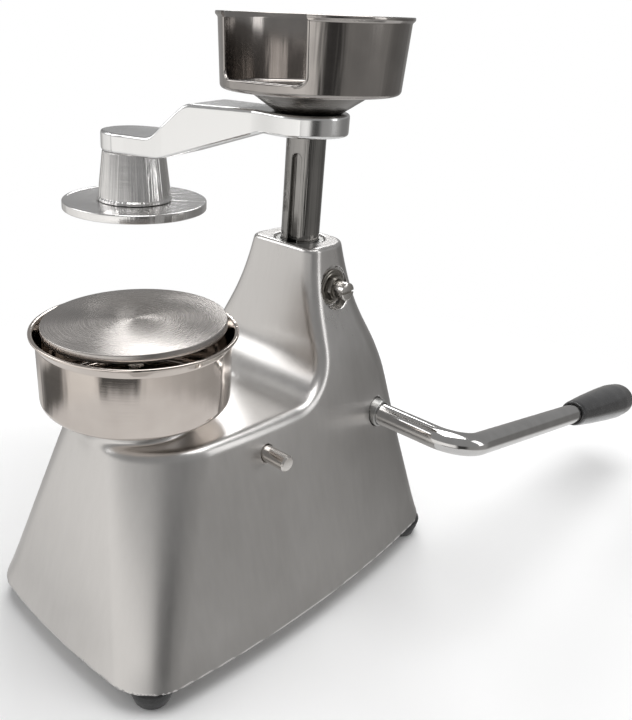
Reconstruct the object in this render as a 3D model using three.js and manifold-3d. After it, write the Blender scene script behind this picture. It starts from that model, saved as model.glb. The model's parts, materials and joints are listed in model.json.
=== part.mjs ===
// Hand-operated patty press, millimetres, +Z up.
// The machine's right side is +X and its front, where the mould bowl stands, is -Y.
// Everything is drawn around the lift column's axis (x = 0, y = 0, floor at z = 0); the last lines
// move the whole press so that the origin lies under the middle of its overall box.

import * as THREE from 'three';
import { mergeVertices } from 'three/addons/utils/BufferGeometryUtils.js';
import Module from 'manifold-3d';

const wasm = await Module();
wasm.setup();

// ---------------------------------------------------------------- driving dimensions

const GAP = 0.3;                       // between pieces that touch
const LATHE_SIDES = 28;                // facets around a medium turned piece
const WIDE_SIDES = 36;                 // facets around the bowl, plates and paper holder

// Where the lift column's axis stands in the finished frame
const COLUMN_X = 25.6;
const COLUMN_Y = -62;

// Cast body: sections of the outside at rising heights.
// z, half width, side bulge, front y, rear y, front bulge, rear bulge, front and rear corner radius,
// and how much narrower the rear is than the front
const BODY_SECTIONS = [
  [17, 93.5, 13.4, -233.9, 98.5, 7.2, 10, 28, 26.5, 0.03],
  [30, 89.7, 13, -230, 94.4, 7.6, 9.8, 29, 26.2, 0.028],
  [100, 74.8, 11.2, -211.8, 75, 9, 9, 36, 26, 0.014],
  [168, 60.5, 9, -195, 58, 8.5, 8, 45, 24, 0],
  [190, 55.5, 7, -190, 48.5, 8, 7, 45, 23, 0],
  [208, 49.5, 5, -187, 39, 8, 6, 40, 22, 0],
  [224, 43.5, 3, -184, 33, 8, 5, 36, 21, 0],
  [240, 38.5, 2, -182, 29.5, 8, 4, 32, 20, 0],
  [256, 35, 1, -180, 25.5, 8, 3.5, 30, 19, 0],
  [272, 32.5, 0.5, -178, 22, 8, 3, 28, 18, 0],
];
const BODY_BOTTOM = 17;
const TOWER_TOP = 272;
const PLATFORM_Z = 168;
const TOWER_FOOT_RADIUS = 35;          // hollow curve between the platform and the tower
const WALL = 5.5;
const CAVITY_TOP = 220;

// Bowl, ejector and seat
const BOWL_Y = -163;
const SEAT_TOP = 183.1;
const SEAT_R = 42;
const BOWL_BOTTOM = SEAT_TOP + GAP;
const BOWL_RIM = 236.4;
const BOWL_R = 66.4;
const BOWL_LIP_R = 70.5;
const SHEET = 1.6;                     // stainless sheet of the bowl and the paper holder
const BOWL_SCREW_CIRCLE = 25;
const EJECTOR_R = 62.6;
const EJECTOR_TOP = 242.3;
const EJECTOR_THICK = 6;
const STEM_R = 6;
const STEM_BOTTOM = 128;
const STEM_PIN_Z = 137;
const STEM_PIN_R = 4;

// Column and head
const COLUMN_R = 15;
const COLUMN_SHOULDER = 218;
const SPIGOT_R = 8;
const SPIGOT_BOTTOM = 190.5;
const ARM_UNDER = 351;
const ARM_TOP = 367;
const HEAD_REACH = 163;                // column axis to press plate axis
const HEAD_SWING = THREE.MathUtils.degToRad(75);
const PAD_TOP = 338;
const PAD_UNDER = 321.5;
const PLATE_R = 63.2;
const PLATE_UNDER = 271.5;
const PLATE_TOP = 279;
const HOLDER_FLOOR = 381.7;
const HOLDER_RIM = 433.5;
const GUIDE_SCREW_Z = 240;
const GUIDE_RECESS_X = 35;              // floor of the round recess around the guide screw
const GROOVE_WIDTH = 8;
const GROOVE_TOP = 338;
const GROOVE_BEND = 262;

// Lever and crank
const SHAFT_Y = 28;
const SHAFT_Z = 136;
const SHAFT_R = 9;
const SHAFT_INNER_END = 13.8;
const LEVER_X = 152;                   // plane in which the long stretch of the lever turns
const LEVER_BEND_R = 26;
const LEVER_DROP = THREE.MathUtils.degToRad(11);
const LEVER_STEPS = 9;                 // stations along the rod, all but two of them in its bend
const ROD_LENGTH = 327;
const GRIP_START = 209;
const GRIP_LENGTH = 134;
const CRANK_R = 34.2;
const CRANK_REST = THREE.MathUtils.degToRad(115);
const CRANK_PIN_R = 5;
const FINGER_R = 21.3;
const FINGER_REST = THREE.MathUtils.degToRad(-155);

// Ejector rocker and its pin
const PIVOT_Y = -104;
const PIVOT_Z = 148;
const PIN_R = 6;
const FORK_REST = THREE.MathUtils.degToRad(180 + 11.7);
const FORK_SLOT = [57, 86];            // distances of the slot's end centres from the pin
const FORK_SLOT_HALF = 6.5;
const LOWER_ARM = 70.25;
const LOWER_REST = THREE.MathUtils.degToRad(-105.95);

const FOOT_PLACES = {
  front_left: [-78, -213],
  front_right: [78, -213],
  rear_left: [-78, 76],
  rear_right: [78, 76],
};

// ---------------------------------------------------------------- finishes

const FINISH = {
  castAluminium: { color: 0xb9b7b4, roughness: 0.38, metalness: 0.9 },
  brightAluminium: { color: 0xd9d8d6, roughness: 0.3, metalness: 0.9 },
  polishedSteel: { color: 0xcfcac5, roughness: 0.12, metalness: 1 },
  brushedSteel: { color: 0xb4aea9, roughness: 0.3, metalness: 1 },
  zincSteel: { color: 0xa9a9a6, roughness: 0.4, metalness: 1 },
  bronze: { color: 0xa8834f, roughness: 0.4, metalness: 1 },
  blackGrip: { color: 0x151515, roughness: 0.25, metalness: 0 },
  rubber: { color: 0x1c1c1d, roughness: 0.8, metalness: 0 },
};

// ---------------------------------------------------------------- solids from three.js geometry

function solid(geometry) {
  const bare = geometry.clone();
  for (const name of Object.keys(bare.attributes)) {
    if (name !== 'position') bare.deleteAttribute(name);
  }
  const merged = mergeVertices(bare, 1e-4);
  const vertProperties = new Float32Array(merged.attributes.position.array);
  const triVerts = new Uint32Array(merged.index.array);
  const made = new wasm.Manifold(new wasm.Mesh({ numProp: 3, vertProperties, triVerts }));
  if (made.volume() > 0) return made;
  const turned = triVerts.slice();
  for (let i = 0; i < turned.length; i += 3) {
    turned[i] = triVerts[i + 1];
    turned[i + 1] = triVerts[i];
  }
  return new wasm.Manifold(new wasm.Mesh({ numProp: 3, vertProperties, triVerts: turned }));
}

function geometryOf(body) {
  const mesh = body.getMesh();
  const geometry = new THREE.BufferGeometry();
  geometry.setAttribute('position', new THREE.BufferAttribute(new Float32Array(mesh.vertProperties), 3));
  geometry.setIndex(new THREE.BufferAttribute(new Uint32Array(mesh.triVerts), 1));
  geometry.computeVertexNormals();
  return geometry;
}

function join(...bodies) {
  return bodies.reduce((sum, body) => sum.add(body));
}

function cut(body, ...tools) {
  return tools.reduce((rest, tool) => rest.subtract(tool), body);
}

function box(x0, x1, y0, y1, z0, z1) {
  const geometry = new THREE.BoxGeometry(x1 - x0, y1 - y0, z1 - z0);
  return solid(geometry.translate((x0 + x1) / 2, (y0 + y1) / 2, (z0 + z1) / 2));
}

function cylinderZ(radius, z0, z1, x = 0, y = 0, sides = 28) {
  const geometry = new THREE.CylinderGeometry(radius, radius, z1 - z0, sides);
  return solid(geometry.rotateX(Math.PI / 2).translate(x, y, (z0 + z1) / 2));
}

function cylinderX(radius, x0, x1, y, z, sides = 24) {
  const geometry = new THREE.CylinderGeometry(radius, radius, x1 - x0, sides);
  return solid(geometry.rotateZ(Math.PI / 2).translate((x0 + x1) / 2, y, z));
}

function cylinderY(radius, y0, y1, x, z, sides = 16) {
  const geometry = new THREE.CylinderGeometry(radius, radius, y1 - y0, sides);
  return solid(geometry.translate(x, (y0 + y1) / 2, z));
}

// A turned piece: [radius, height] pairs, around a vertical axis.
function turned(profile, sides = LATHE_SIDES) {
  const points = profile.map(([radius, z]) => new THREE.Vector2(radius, z));
  return solid(new THREE.LatheGeometry(points, sides).rotateX(Math.PI / 2));
}

// A closed ring profile: the last point returns to the first.
function turnedRing(profile, sides = LATHE_SIDES) {
  return turned([...profile, profile[0]], sides);
}

// A turned piece laid along +X, its profile's height becoming x.
function turnedX(profile, y, z, sides = 20) {
  const points = profile.map(([radius, x]) => new THREE.Vector2(radius, x));
  const geometry = new THREE.LatheGeometry(points, sides).rotateZ(-Math.PI / 2);
  return solid(geometry.translate(0, y, z));
}

// A flat outline of [y, z] points made thick along X.
function plateX(outline, x0, x1) {
  const shape = new THREE.Shape(outline.map(([y, z]) => new THREE.Vector2(y, z)));
  const geometry = new THREE.ExtrudeGeometry(shape, { depth: x1 - x0, bevelEnabled: false });
  const basis = new THREE.Matrix4().makeBasis(
    new THREE.Vector3(0, 1, 0),
    new THREE.Vector3(0, 0, 1),
    new THREE.Vector3(1, 0, 0),
  );
  return solid(geometry.applyMatrix4(basis).translate(x0, 0, 0));
}

// A flat outline of [x, y] points made thick along Z.
function plateZ(outline, z0, z1) {
  const shape = new THREE.Shape(outline.map(([x, y]) => new THREE.Vector2(x, y)));
  const geometry = new THREE.ExtrudeGeometry(shape, { depth: z1 - z0, bevelEnabled: false });
  return solid(geometry.translate(0, 0, z0));
}

function arc(cx, cy, radius, fromDeg, toDeg, steps) {
  const points = [];
  for (let i = 0; i <= steps; i += 1) {
    const angle = THREE.MathUtils.degToRad(fromDeg + (toDeg - fromDeg) * i / steps);
    points.push([cx + radius * Math.cos(angle), cy + radius * Math.sin(angle)]);
  }
  return points;
}

// The outline around two circles, as a belt runs round two pulleys.
function belt(a, ra, b, rb, steps = 7) {
  const heading = Math.atan2(b[1] - a[1], b[0] - a[0]);
  const lean = Math.acos((ra - rb) / Math.hypot(b[0] - a[0], b[1] - a[1]));
  const deg = THREE.MathUtils.radToDeg;
  return [
    ...arc(a[0], a[1], ra, deg(heading + lean), deg(heading - lean) + 360, steps),
    ...arc(b[0], b[1], rb, deg(heading - lean), deg(heading + lean), steps),
  ];
}

function polar(centre, radius, angle) {
  return [centre[0] + radius * Math.cos(angle), centre[1] + radius * Math.sin(angle)];
}

// ---------------------------------------------------------------- cast body

const CORNER_STEPS = 4;
const SIDE_STEPS = 3;

// One level of the body: a rounded rectangle whose sides bulge a little.
function sectionOutline(section) {
  const [halfWidth, sideBulge, front, rear, frontBulge, rearBulge, frontR, rearR, taper] = section;
  const middle = (front + rear) / 2;
  const halfDepth = (rear - front) / 2;
  const corners = [
    [1, -1, -90, frontR],
    [1, 1, 0, rearR],
    [-1, 1, 90, rearR],
    [-1, -1, 180, frontR],
  ];
  const base = [];
  corners.forEach(([sx, sy, start, radius], index) => {
    const turn = arc(
      sx * (halfWidth - radius),
      middle + sy * (halfDepth - radius),
      radius,
      start,
      start + 90,
      CORNER_STEPS,
    );
    const next = corners[(index + 1) % corners.length];
    const nextStart = THREE.MathUtils.degToRad(next[2]);
    const target = [
      next[0] * (halfWidth - next[3]) + next[3] * Math.cos(nextStart),
      middle + next[1] * (halfDepth - next[3]) + next[3] * Math.sin(nextStart),
    ];
    base.push(...turn);
    const last = turn[turn.length - 1];
    for (let i = 1; i < SIDE_STEPS; i += 1) {
      const t = i / SIDE_STEPS;
      base.push([last[0] + (target[0] - last[0]) * t, last[1] + (target[1] - last[1]) * t]);
    }
  });
  return base.map(([x, y]) => {
    const u = x / halfWidth;
    const w = (y - middle) / halfDepth;
    const bulge = w < 0 ? -frontBulge : rearBulge;
    return [
      (x + Math.sign(x) * sideBulge * (1 - w * w) * Math.abs(u)) * (1 - taper * w),
      y + bulge * (1 - u * u) * Math.abs(w),
    ];
  });
}

function sectionAt(z, inset) {
  const last = BODY_SECTIONS.length - 1;
  let k = BODY_SECTIONS.findIndex((row) => row[0] > z) - 1;
  if (k < 0) k = z <= BODY_SECTIONS[0][0] ? 0 : last - 1;
  const [low, high] = [BODY_SECTIONS[k], BODY_SECTIONS[k + 1]];
  const t = (z - low[0]) / (high[0] - low[0]);
  const [halfWidth, side, front, rear, frontB, rearB, frontR, rearR, taper] = low
    .slice(1)
    .map((value, i) => value + (high[i + 1] - value) * t);
  return [
    halfWidth - inset,
    side,
    front + inset,
    rear - inset,
    frontB,
    rearB,
    frontR - inset,
    rearR - inset,
    taper,
  ];
}

// The sections skinned from one height to another: a prism whose levels are moved to the sections.
function skin(z0, z1, inset) {
  const inside = BODY_SECTIONS.map((row) => row[0]).filter((z) => z > z0 && z < z1);
  const levels = [z0, ...inside, z1];
  const outlines = levels.map((z) => sectionOutline(sectionAt(z, inset)));
  const count = outlines[0].length;
  const shape = new THREE.Shape();
  for (let i = 0; i < count; i += 1) {
    const angle = i / count * 2 * Math.PI;
    if (i === 0) shape.moveTo(Math.cos(angle), Math.sin(angle));
    else shape.lineTo(Math.cos(angle), Math.sin(angle));
  }
  const steps = levels.length - 1;
  const geometry = new THREE.ExtrudeGeometry(shape, { depth: steps, steps, bevelEnabled: false });
  const place = geometry.attributes.position;
  for (let i = 0; i < place.count; i += 1) {
    const angle = Math.atan2(place.getY(i), place.getX(i));
    const index = (Math.round(angle / (2 * Math.PI) * count) + count) % count;
    const level = Math.round(place.getZ(i));
    const [x, y] = outlines[level][index];
    place.setXYZ(i, x, y, levels[level]);
  }
  return solid(geometry);
}

// Side view of everything behind the tower's front and under the platform.
function sideProfile(inset) {
  const platform = PLATFORM_Z - inset;
  const radius = TOWER_FOOT_RADIUS + inset;
  return [
    [-300, -20],
    [200, -20],
    [200, 300],
    [-20.5 + inset, 300],
    [-23 + inset, 272],
    [-27 + inset, 240],
    ...arc(-68, PLATFORM_Z + TOWER_FOOT_RADIUS, radius, -11, -90, 8),
    [-300, platform],
  ];
}

function bodyCasting() {
  const outer = skin(BODY_BOTTOM, TOWER_TOP, 0).intersect(plateX(sideProfile(0), -150, 150));
  const cavity = skin(BODY_BOTTOM - 10, CAVITY_TOP, WALL)
    .intersect(plateX(sideProfile(WALL + 0.5), -150, 150));
  const bosses = [
    cylinderX(17, 37, 90, SHAFT_Y, SHAFT_Z),
    cylinderX(12, 56, 90, PIVOT_Y, PIVOT_Z),
    cylinderX(12, -90, -56, PIVOT_Y, PIVOT_Z),
    cylinderZ(15, 150, PLATFORM_Z - 2, 0, BOWL_Y),
    ...Object.values(FOOT_PLACES).map(([x, y]) => cylinderZ(12, BODY_BOTTOM, 44, x, y, 20)),
  ];
  const trimmed = bosses.map((boss) => boss.intersect(outer));
  const seat = cylinderZ(SEAT_R, PLATFORM_Z - 5, SEAT_TOP, 0, BOWL_Y, 36);
  const holes = [
    cylinderZ(19 + GAP, CAVITY_TOP - 5, TOWER_TOP + 5),
    cylinderX(5.8, 10, 80, 0, GUIDE_SCREW_Z, 16),
    cylinderX(16, GUIDE_RECESS_X, 80, 0, GUIDE_SCREW_Z),
    cylinderX(11 + GAP, 30, 100, SHAFT_Y, SHAFT_Z),
    cylinderX(PIN_R + GAP, -68, 100, PIVOT_Y, PIVOT_Z, 20),
    cylinderZ(9 + GAP, 140, SEAT_TOP + 5, 0, BOWL_Y, 24),
    ...Object.values(FOOT_PLACES).map(([x, y]) => cylinderZ(3 + GAP, 0, 36, x, y, 12)),
    ...bowlScrewPlaces().map(([x, y]) => cylinderZ(2.5 + GAP, 168, SEAT_TOP + 5, x, y, 12)),
  ];
  return cut(join(cut(outer, cavity), ...trimmed, seat), ...holes);
}

// ---------------------------------------------------------------- feet

function foot() {
  return turnedRing([
    [6, 0],
    [12.6, 0],
    [13.4, 0.8],
    [16.6, 15.4],
    [15.8, BODY_BOTTOM - GAP],
    [3.4, BODY_BOTTOM - GAP],
    [3.4, 7],
    [6, 7],
  ], 16);
}

function footScrew() {
  return turned([
    [0, 2],
    [4.4, 2],
    [5, 2.8],
    [5, 6.7],
    [3, 6.7],
    [3, 35],
    [0, 35],
  ], 12);
}

// ---------------------------------------------------------------- tower fittings

function columnBush() {
  const sleeve = turnedRing([
    [COLUMN_R + GAP, CAVITY_TOP - 1],
    [19, CAVITY_TOP - 1],
    [19, TOWER_TOP - 0.4],
    [COLUMN_R + GAP, TOWER_TOP - 0.4],
  ]);
  return cut(sleeve, cylinderX(5.8, 10, 30, 0, GUIDE_SCREW_Z, 16));
}

// From the recess floor outwards: washer, lock nut, then the screw's slotted head.
const GUIDE_WASHER_X = [GUIDE_RECESS_X + GAP, GUIDE_RECESS_X + 2];
const GUIDE_NUT_X = [GUIDE_WASHER_X[1] + GAP, GUIDE_WASHER_X[1] + 5];
const GUIDE_HEAD_X = [GUIDE_NUT_X[1] + GAP, 52.5];

function guideScrew() {
  const [headStart, headEnd] = GUIDE_HEAD_X;
  const rod = turnedX([
    [0, COLUMN_R + 0.6],
    [5.5, COLUMN_R + 0.6],
    [5.5, headStart],
    [7, headStart],
    [7, headEnd - 1],
    [6, headEnd],
    [0, headEnd],
  ], 0, GUIDE_SCREW_Z, 20);
  return cut(rod, box(headEnd - 2.5, headEnd + 2, -0.8, 0.8, GUIDE_SCREW_Z - 9, GUIDE_SCREW_Z + 9));
}

function guideWasher() {
  const disc = cylinderX(14, ...GUIDE_WASHER_X, 0, GUIDE_SCREW_Z);
  return cut(disc, cylinderX(5.8, 30, 60, 0, GUIDE_SCREW_Z, 20));
}

function guideLockNut() {
  const hexagon = cylinderX(10.4, ...GUIDE_NUT_X, 0, GUIDE_SCREW_Z, 6);
  return cut(hexagon, cylinderX(5.8, 30, 60, 0, GUIDE_SCREW_Z, 20));
}

// ---------------------------------------------------------------- bowl and ejector

function bowlScrewPlaces() {
  const places = [];
  for (let i = 0; i < 3; i += 1) {
    const angle = Math.PI / 2 + i * 2 * Math.PI / 3;
    places.push([BOWL_SCREW_CIRCLE * Math.cos(angle), BOWL_Y + BOWL_SCREW_CIRCLE * Math.sin(angle)]);
  }
  return places;
}

function mouldBowl() {
  const cornerR = 6;
  const lowerR = BOWL_R - 0.6;
  const wall = turnedRing([
    [7, BOWL_BOTTOM],
    ...arc(lowerR - cornerR, BOWL_BOTTOM + cornerR, cornerR, -90, 0, 4),
    [BOWL_R, BOWL_RIM - 8],
    [BOWL_R + 0.6, BOWL_RIM - 4.5],
    [BOWL_LIP_R - 0.3, BOWL_RIM - 2],
    [BOWL_LIP_R, BOWL_RIM - 1],
    [BOWL_LIP_R - 0.6, BOWL_RIM],
    [BOWL_R + 0.6, BOWL_RIM - 1.6],
    [BOWL_R - SHEET + 0.2, BOWL_RIM - 6],
    ...arc(lowerR - cornerR, BOWL_BOTTOM + cornerR, cornerR - SHEET, 0, -90, 4),
    [7, BOWL_BOTTOM + SHEET],
  ], WIDE_SIDES).translate([0, BOWL_Y, 0]);
  const holes = bowlScrewPlaces().map(([x, y]) => (
    cylinderZ(2.5 + GAP, BOWL_BOTTOM - 5, BOWL_BOTTOM + 8, x, y, 12)
  ));
  return cut(wall, ...holes);
}

function bowlScrew() {
  const floor = BOWL_BOTTOM + SHEET;
  return turned([
    [0, 169],
    [2.5, 169],
    [2.5, floor + 0.2],
    [4.8, floor + 0.2],
    [4.8, floor + 1.4],
    [3.8, floor + 2],
    [0, floor + 2],
  ], 14);
}

function ejectorPlate() {
  const under = EJECTOR_TOP - EJECTOR_THICK;
  return turned([
    [0, under + 3.4],
    [STEM_R + GAP, under + 3.4],
    [STEM_R + GAP, under],
    [EJECTOR_R - 0.8, under],
    [EJECTOR_R, under + 0.8],
    [EJECTOR_R, EJECTOR_TOP - 0.8],
    [EJECTOR_R - 0.8, EJECTOR_TOP],
    [0, EJECTOR_TOP],
  ], WIDE_SIDES).translate([0, BOWL_Y, 0]);
}

function ejectorStem() {
  const rod = cylinderZ(STEM_R, STEM_BOTTOM, EJECTOR_TOP - EJECTOR_THICK + 3, 0, BOWL_Y, 24);
  return cut(rod, cylinderX(STEM_PIN_R + GAP, -10, 10, BOWL_Y, STEM_PIN_Z, 16));
}

// The cross pin that the rocker's two slots carry.
function stemPin() {
  return cylinderX(STEM_PIN_R, -15.5, 15.5, BOWL_Y, STEM_PIN_Z, 16);
}

function ejectorBush() {
  return turnedRing([
    [STEM_R + GAP, 150.5],
    [9, 150.5],
    [9, SEAT_TOP],
    [STEM_R + GAP, SEAT_TOP],
  ], 24).translate([0, BOWL_Y, 0]);
}

// ---------------------------------------------------------------- rocker, pin and drag link

const PIVOT = [PIVOT_Y, PIVOT_Z];
const LINK_END = polar(PIVOT, LOWER_ARM, LOWER_REST);
const SHAFT = [SHAFT_Y, SHAFT_Z];
const CRANK_PIN = polar(SHAFT, CRANK_R, CRANK_REST);
const FINGER = polar(SHAFT, FINGER_R, FINGER_REST);

const LINK_X0 = 27.8;
const LINK_X1 = 31.6;
const LINK_EYE_R = 7.5;
const LINK_BAR_HALF = 4.5;
const LINK_PIN_R = 4;
const LOWER_ARM_X = [19.5, 26.5];

// A forked lever: two slotted plates lift the stem's cross pin, and a lower arm takes the drag link.
function ejectorRocker() {
  const [slotNear, slotFar] = FORK_SLOT.map((reach) => polar(PIVOT, reach, FORK_REST));
  const slot = belt(slotNear, FORK_SLOT_HALF, slotFar, FORK_SLOT_HALF);
  const plates = [-14, 7].map((x) => (
    cut(plateX(belt(PIVOT, 10, slotFar, 11.5), x, x + 7), plateX(slot, x - 1, x + 8))
  ));
  const hub = cylinderX(11, -15, 34, PIVOT_Y, PIVOT_Z);
  const lowerArm = plateX(belt(PIVOT, 9, LINK_END, 8), ...LOWER_ARM_X);
  return cut(
    join(hub, ...plates, lowerArm),
    cylinderX(PIN_R + GAP, -20, 50, PIVOT_Y, PIVOT_Z, 20),
    cylinderX(LINK_PIN_R + GAP, 10, 50, ...LINK_END, 16),
  );
}

function pivotPin() {
  return turnedX([
    [0, -67],
    [PIN_R, -67],
    [PIN_R, 92],
    [PIN_R - 1, 93],
    [0, 93],
  ], PIVOT_Y, PIVOT_Z, 24);
}

function pivotCollar(x0, x1) {
  const ring = cylinderX(10.5, x0, x1, PIVOT_Y, PIVOT_Z, 24);
  return cut(ring, cylinderX(PIN_R + GAP, x0 - 1, x1 + 1, PIVOT_Y, PIVOT_Z, 20));
}

function dragLink() {
  const eyes = [LINK_END, FINGER];
  const bar = join(
    plateX(belt(LINK_END, LINK_BAR_HALF, FINGER, LINK_BAR_HALF), LINK_X0, LINK_X1),
    ...eyes.map((eye) => cylinderX(LINK_EYE_R, LINK_X0, LINK_X1, ...eye, 20)),
  );
  return cut(bar, ...eyes.map((eye) => cylinderX(LINK_PIN_R + GAP, 20, 40, ...eye, 16)));
}

// A headed pin along X: the head lies outside the link.
function linkPin([y, z], tipX) {
  const headX = LINK_X1 + GAP;
  return turnedX([
    [0, tipX],
    [LINK_PIN_R, tipX],
    [LINK_PIN_R, headX],
    [6.5, headX],
    [6.5, headX + 2],
    [0, headX + 2],
  ], y, z, 16);
}

// ---------------------------------------------------------------- lever

const LEVER_DIRECTION = new THREE.Vector3(0, Math.cos(LEVER_DROP), -Math.sin(LEVER_DROP));
const LEVER_CORNER = new THREE.Vector3(LEVER_X, SHAFT_Y, SHAFT_Z);

// A straight shaft along X, one quarter bend, then the long stretch to the grip.
// Its stations are spaced by t, and nearly all of them lie in the bend.
class LeverPath extends THREE.Curve {
  getUtoTmapping(u) {
    return u;
  }

  getPoint(t, target = new THREE.Vector3()) {
    const bendStart = 1 / LEVER_STEPS;
    const bendEnd = 1 - bendStart;
    const bendX = LEVER_X - LEVER_BEND_R;
    if (t <= bendStart) {
      const x = SHAFT_INNER_END + (bendX - SHAFT_INNER_END) * t / bendStart;
      return target.set(x, SHAFT_Y, SHAFT_Z);
    }
    const angle = Math.PI / 2 * Math.min(1, (t - bendStart) / (bendEnd - bendStart));
    const straight = Math.max(0, (t - bendEnd) / bendStart) * (ROD_LENGTH - LEVER_BEND_R);
    const out = LEVER_BEND_R * (1 - Math.cos(angle)) + straight;
    return target
      .set(bendX + LEVER_BEND_R * Math.sin(angle), SHAFT_Y, SHAFT_Z)
      .addScaledVector(LEVER_DIRECTION, out);
  }
}

function leverRod() {
  const section = new THREE.Shape();
  section.absarc(0, 0, SHAFT_R, 0, 2 * Math.PI, false);
  const geometry = new THREE.ExtrudeGeometry(section, {
    steps: LEVER_STEPS,
    curveSegments: 10,
    extrudePath: new LeverPath(),
  });
  return solid(geometry);
}

// The grip is turned about the long stretch's axis.
function leverGrip() {
  const points = [
    [SHAFT_R + GAP, 0],
    [11, 0],
    [12, 3],
    [14.4, 35],
    [16.6, 75],
    [17.2, 95],
    [16.4, 113],
    [13.2, 125.5],
    [7.6, 132],
    [0, GRIP_LENGTH],
    [0, ROD_LENGTH - GRIP_START + 2],
    [SHAFT_R + GAP, ROD_LENGTH - GRIP_START + 2],
    [SHAFT_R + GAP, 0],
  ].map(([radius, along]) => new THREE.Vector2(radius, along));
  const geometry = new THREE.LatheGeometry(points, 24);
  const turn = new THREE.Quaternion().setFromUnitVectors(new THREE.Vector3(0, 1, 0), LEVER_DIRECTION);
  const start = LEVER_CORNER.clone().addScaledVector(LEVER_DIRECTION, GRIP_START);
  geometry.applyQuaternion(turn).translate(start.x, start.y, start.z);
  return solid(geometry);
}

function leverBush(x0, x1) {
  const sleeve = cylinderX(11, x0, x1, SHAFT_Y, SHAFT_Z);
  return cut(sleeve, cylinderX(SHAFT_R + GAP, x0 - 1, x1 + 1, SHAFT_Y, SHAFT_Z));
}

function shaftCollar() {
  const ring = cylinderX(14, 32, 36.6, SHAFT_Y, SHAFT_Z);
  return cut(ring, cylinderX(SHAFT_R + GAP, 30, 40, SHAFT_Y, SHAFT_Z));
}

function crankArm() {
  const x0 = SHAFT_INNER_END;
  const x1 = 25.6;
  const web = join(
    plateX(belt(SHAFT, 16.5, CRANK_PIN, 9.5), x0, x1),
    plateX(belt(SHAFT, 14, FINGER, 7.5), x0, x1),
  );
  return cut(
    web,
    cylinderX(SHAFT_R + GAP, x0 - 1, x1 + 1, SHAFT_Y, SHAFT_Z),
    cylinderX(CRANK_PIN_R + GAP, x0 - 1, x1 + 1, ...CRANK_PIN, 20),
    cylinderX(LINK_PIN_R + GAP, x0 - 1, x1 + 1, ...FINGER, 16),
    cylinderY(3 + GAP, SHAFT_Y + 5, SHAFT_Y + 20, 19.7, SHAFT_Z),
  );
}

function crankSetScrew() {
  return cylinderY(3, SHAFT_Y + SHAFT_R + GAP, SHAFT_Y + 16, 19.7, SHAFT_Z);
}

function crankPin() {
  return turnedX([
    [0, -10.5],
    [CRANK_PIN_R, -10.5],
    [CRANK_PIN_R, 25.9],
    [7.5, 25.9],
    [7.5, 27.5],
    [0, 27.5],
  ], ...CRANK_PIN, 20);
}

function crankPinClip() {
  const ring = cylinderX(8, -8.8, -7.2, ...CRANK_PIN, 20);
  return cut(ring, cylinderX(CRANK_PIN_R + GAP, -12, -5, ...CRANK_PIN, 20));
}

// ---------------------------------------------------------------- lift yoke

const SLOT_HALF_HEIGHT = 8.7;
const SLOT_HALF_LENGTH = 15.8;
const SLOT_MIDDLE_Y = 3.5;

function liftYoke() {
  const pinZ = CRANK_PIN[1];
  const collarBottom = 203;
  const windowBottom = pinZ + 18;
  const slotReach = SLOT_HALF_LENGTH - SLOT_HALF_HEIGHT;
  const plate = box(-6, 6, -27, 28, pinZ - 17, pinZ + 15);
  const frame = box(-6, 6, -20, 20, pinZ + 10, COLUMN_SHOULDER - GAP);
  const collar = cylinderZ(12, collarBottom, COLUMN_SHOULDER - GAP, 0, 0, 28);
  const slot = plateX(
    belt(
      [SLOT_MIDDLE_Y - slotReach, pinZ],
      SLOT_HALF_HEIGHT,
      [SLOT_MIDDLE_Y + slotReach, pinZ],
      SLOT_HALF_HEIGHT,
    ),
    -20,
    20,
  );
  return cut(
    join(plate, frame, collar),
    slot,
    box(-20, 20, -12.2, 12.2, windowBottom, collarBottom),
    cylinderZ(SPIGOT_R + GAP, windowBottom, 250, 0, 0, 24),
  );
}

// ---------------------------------------------------------------- swinging head
// Drawn with the arm reaching towards -Y, over the bowl.

function column() {
  const bar = join(
    cylinderZ(COLUMN_R, COLUMN_SHOULDER, ARM_TOP - 0.5, 0, 0, 32),
    cylinderZ(SPIGOT_R, SPIGOT_BOTTOM, COLUMN_SHOULDER + 1, 0, 0, 24),
  );
  const half = GROOVE_WIDTH / 2;
  const straight = box(COLUMN_R - 4.5, COLUMN_R + 5, -half, half, GROOVE_BEND, GROOVE_TOP - half);
  const pegs = [];
  const turns = 5;
  for (let i = 0; i <= turns; i += 1) {
    const t = i / turns;
    const peg = new THREE.CylinderGeometry(half, half, 10, 12);
    peg.rotateZ(Math.PI / 2).translate(COLUMN_R + 0.5, 0, 0).rotateZ(HEAD_SWING * t);
    pegs.push(solid(peg.translate(0, 0, GROOVE_BEND - (GROOVE_BEND - GUIDE_SCREW_Z) * t)));
  }
  const end = cylinderX(half, COLUMN_R - 4.5, COLUMN_R + 5, 0, GROOVE_TOP - half, 12);
  const screwHole = cylinderZ(4 + GAP, 340, ARM_TOP + 5, 0, 0, 16);
  return cut(bar, straight, end, ...pegs, screwHole);
}

function columnWasher() {
  const ring = cylinderZ(11.5, 201, 202.7, 0, 0, 24);
  return cut(ring, cylinderZ(SPIGOT_R + GAP, 200, 205, 0, 0, 24));
}

function columnNut() {
  const ring = cylinderZ(11.4, 193.5, 200.7, 0, 0, 8);
  return cut(ring, cylinderZ(SPIGOT_R + GAP, 190, 205, 0, 0, 24));
}

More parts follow.
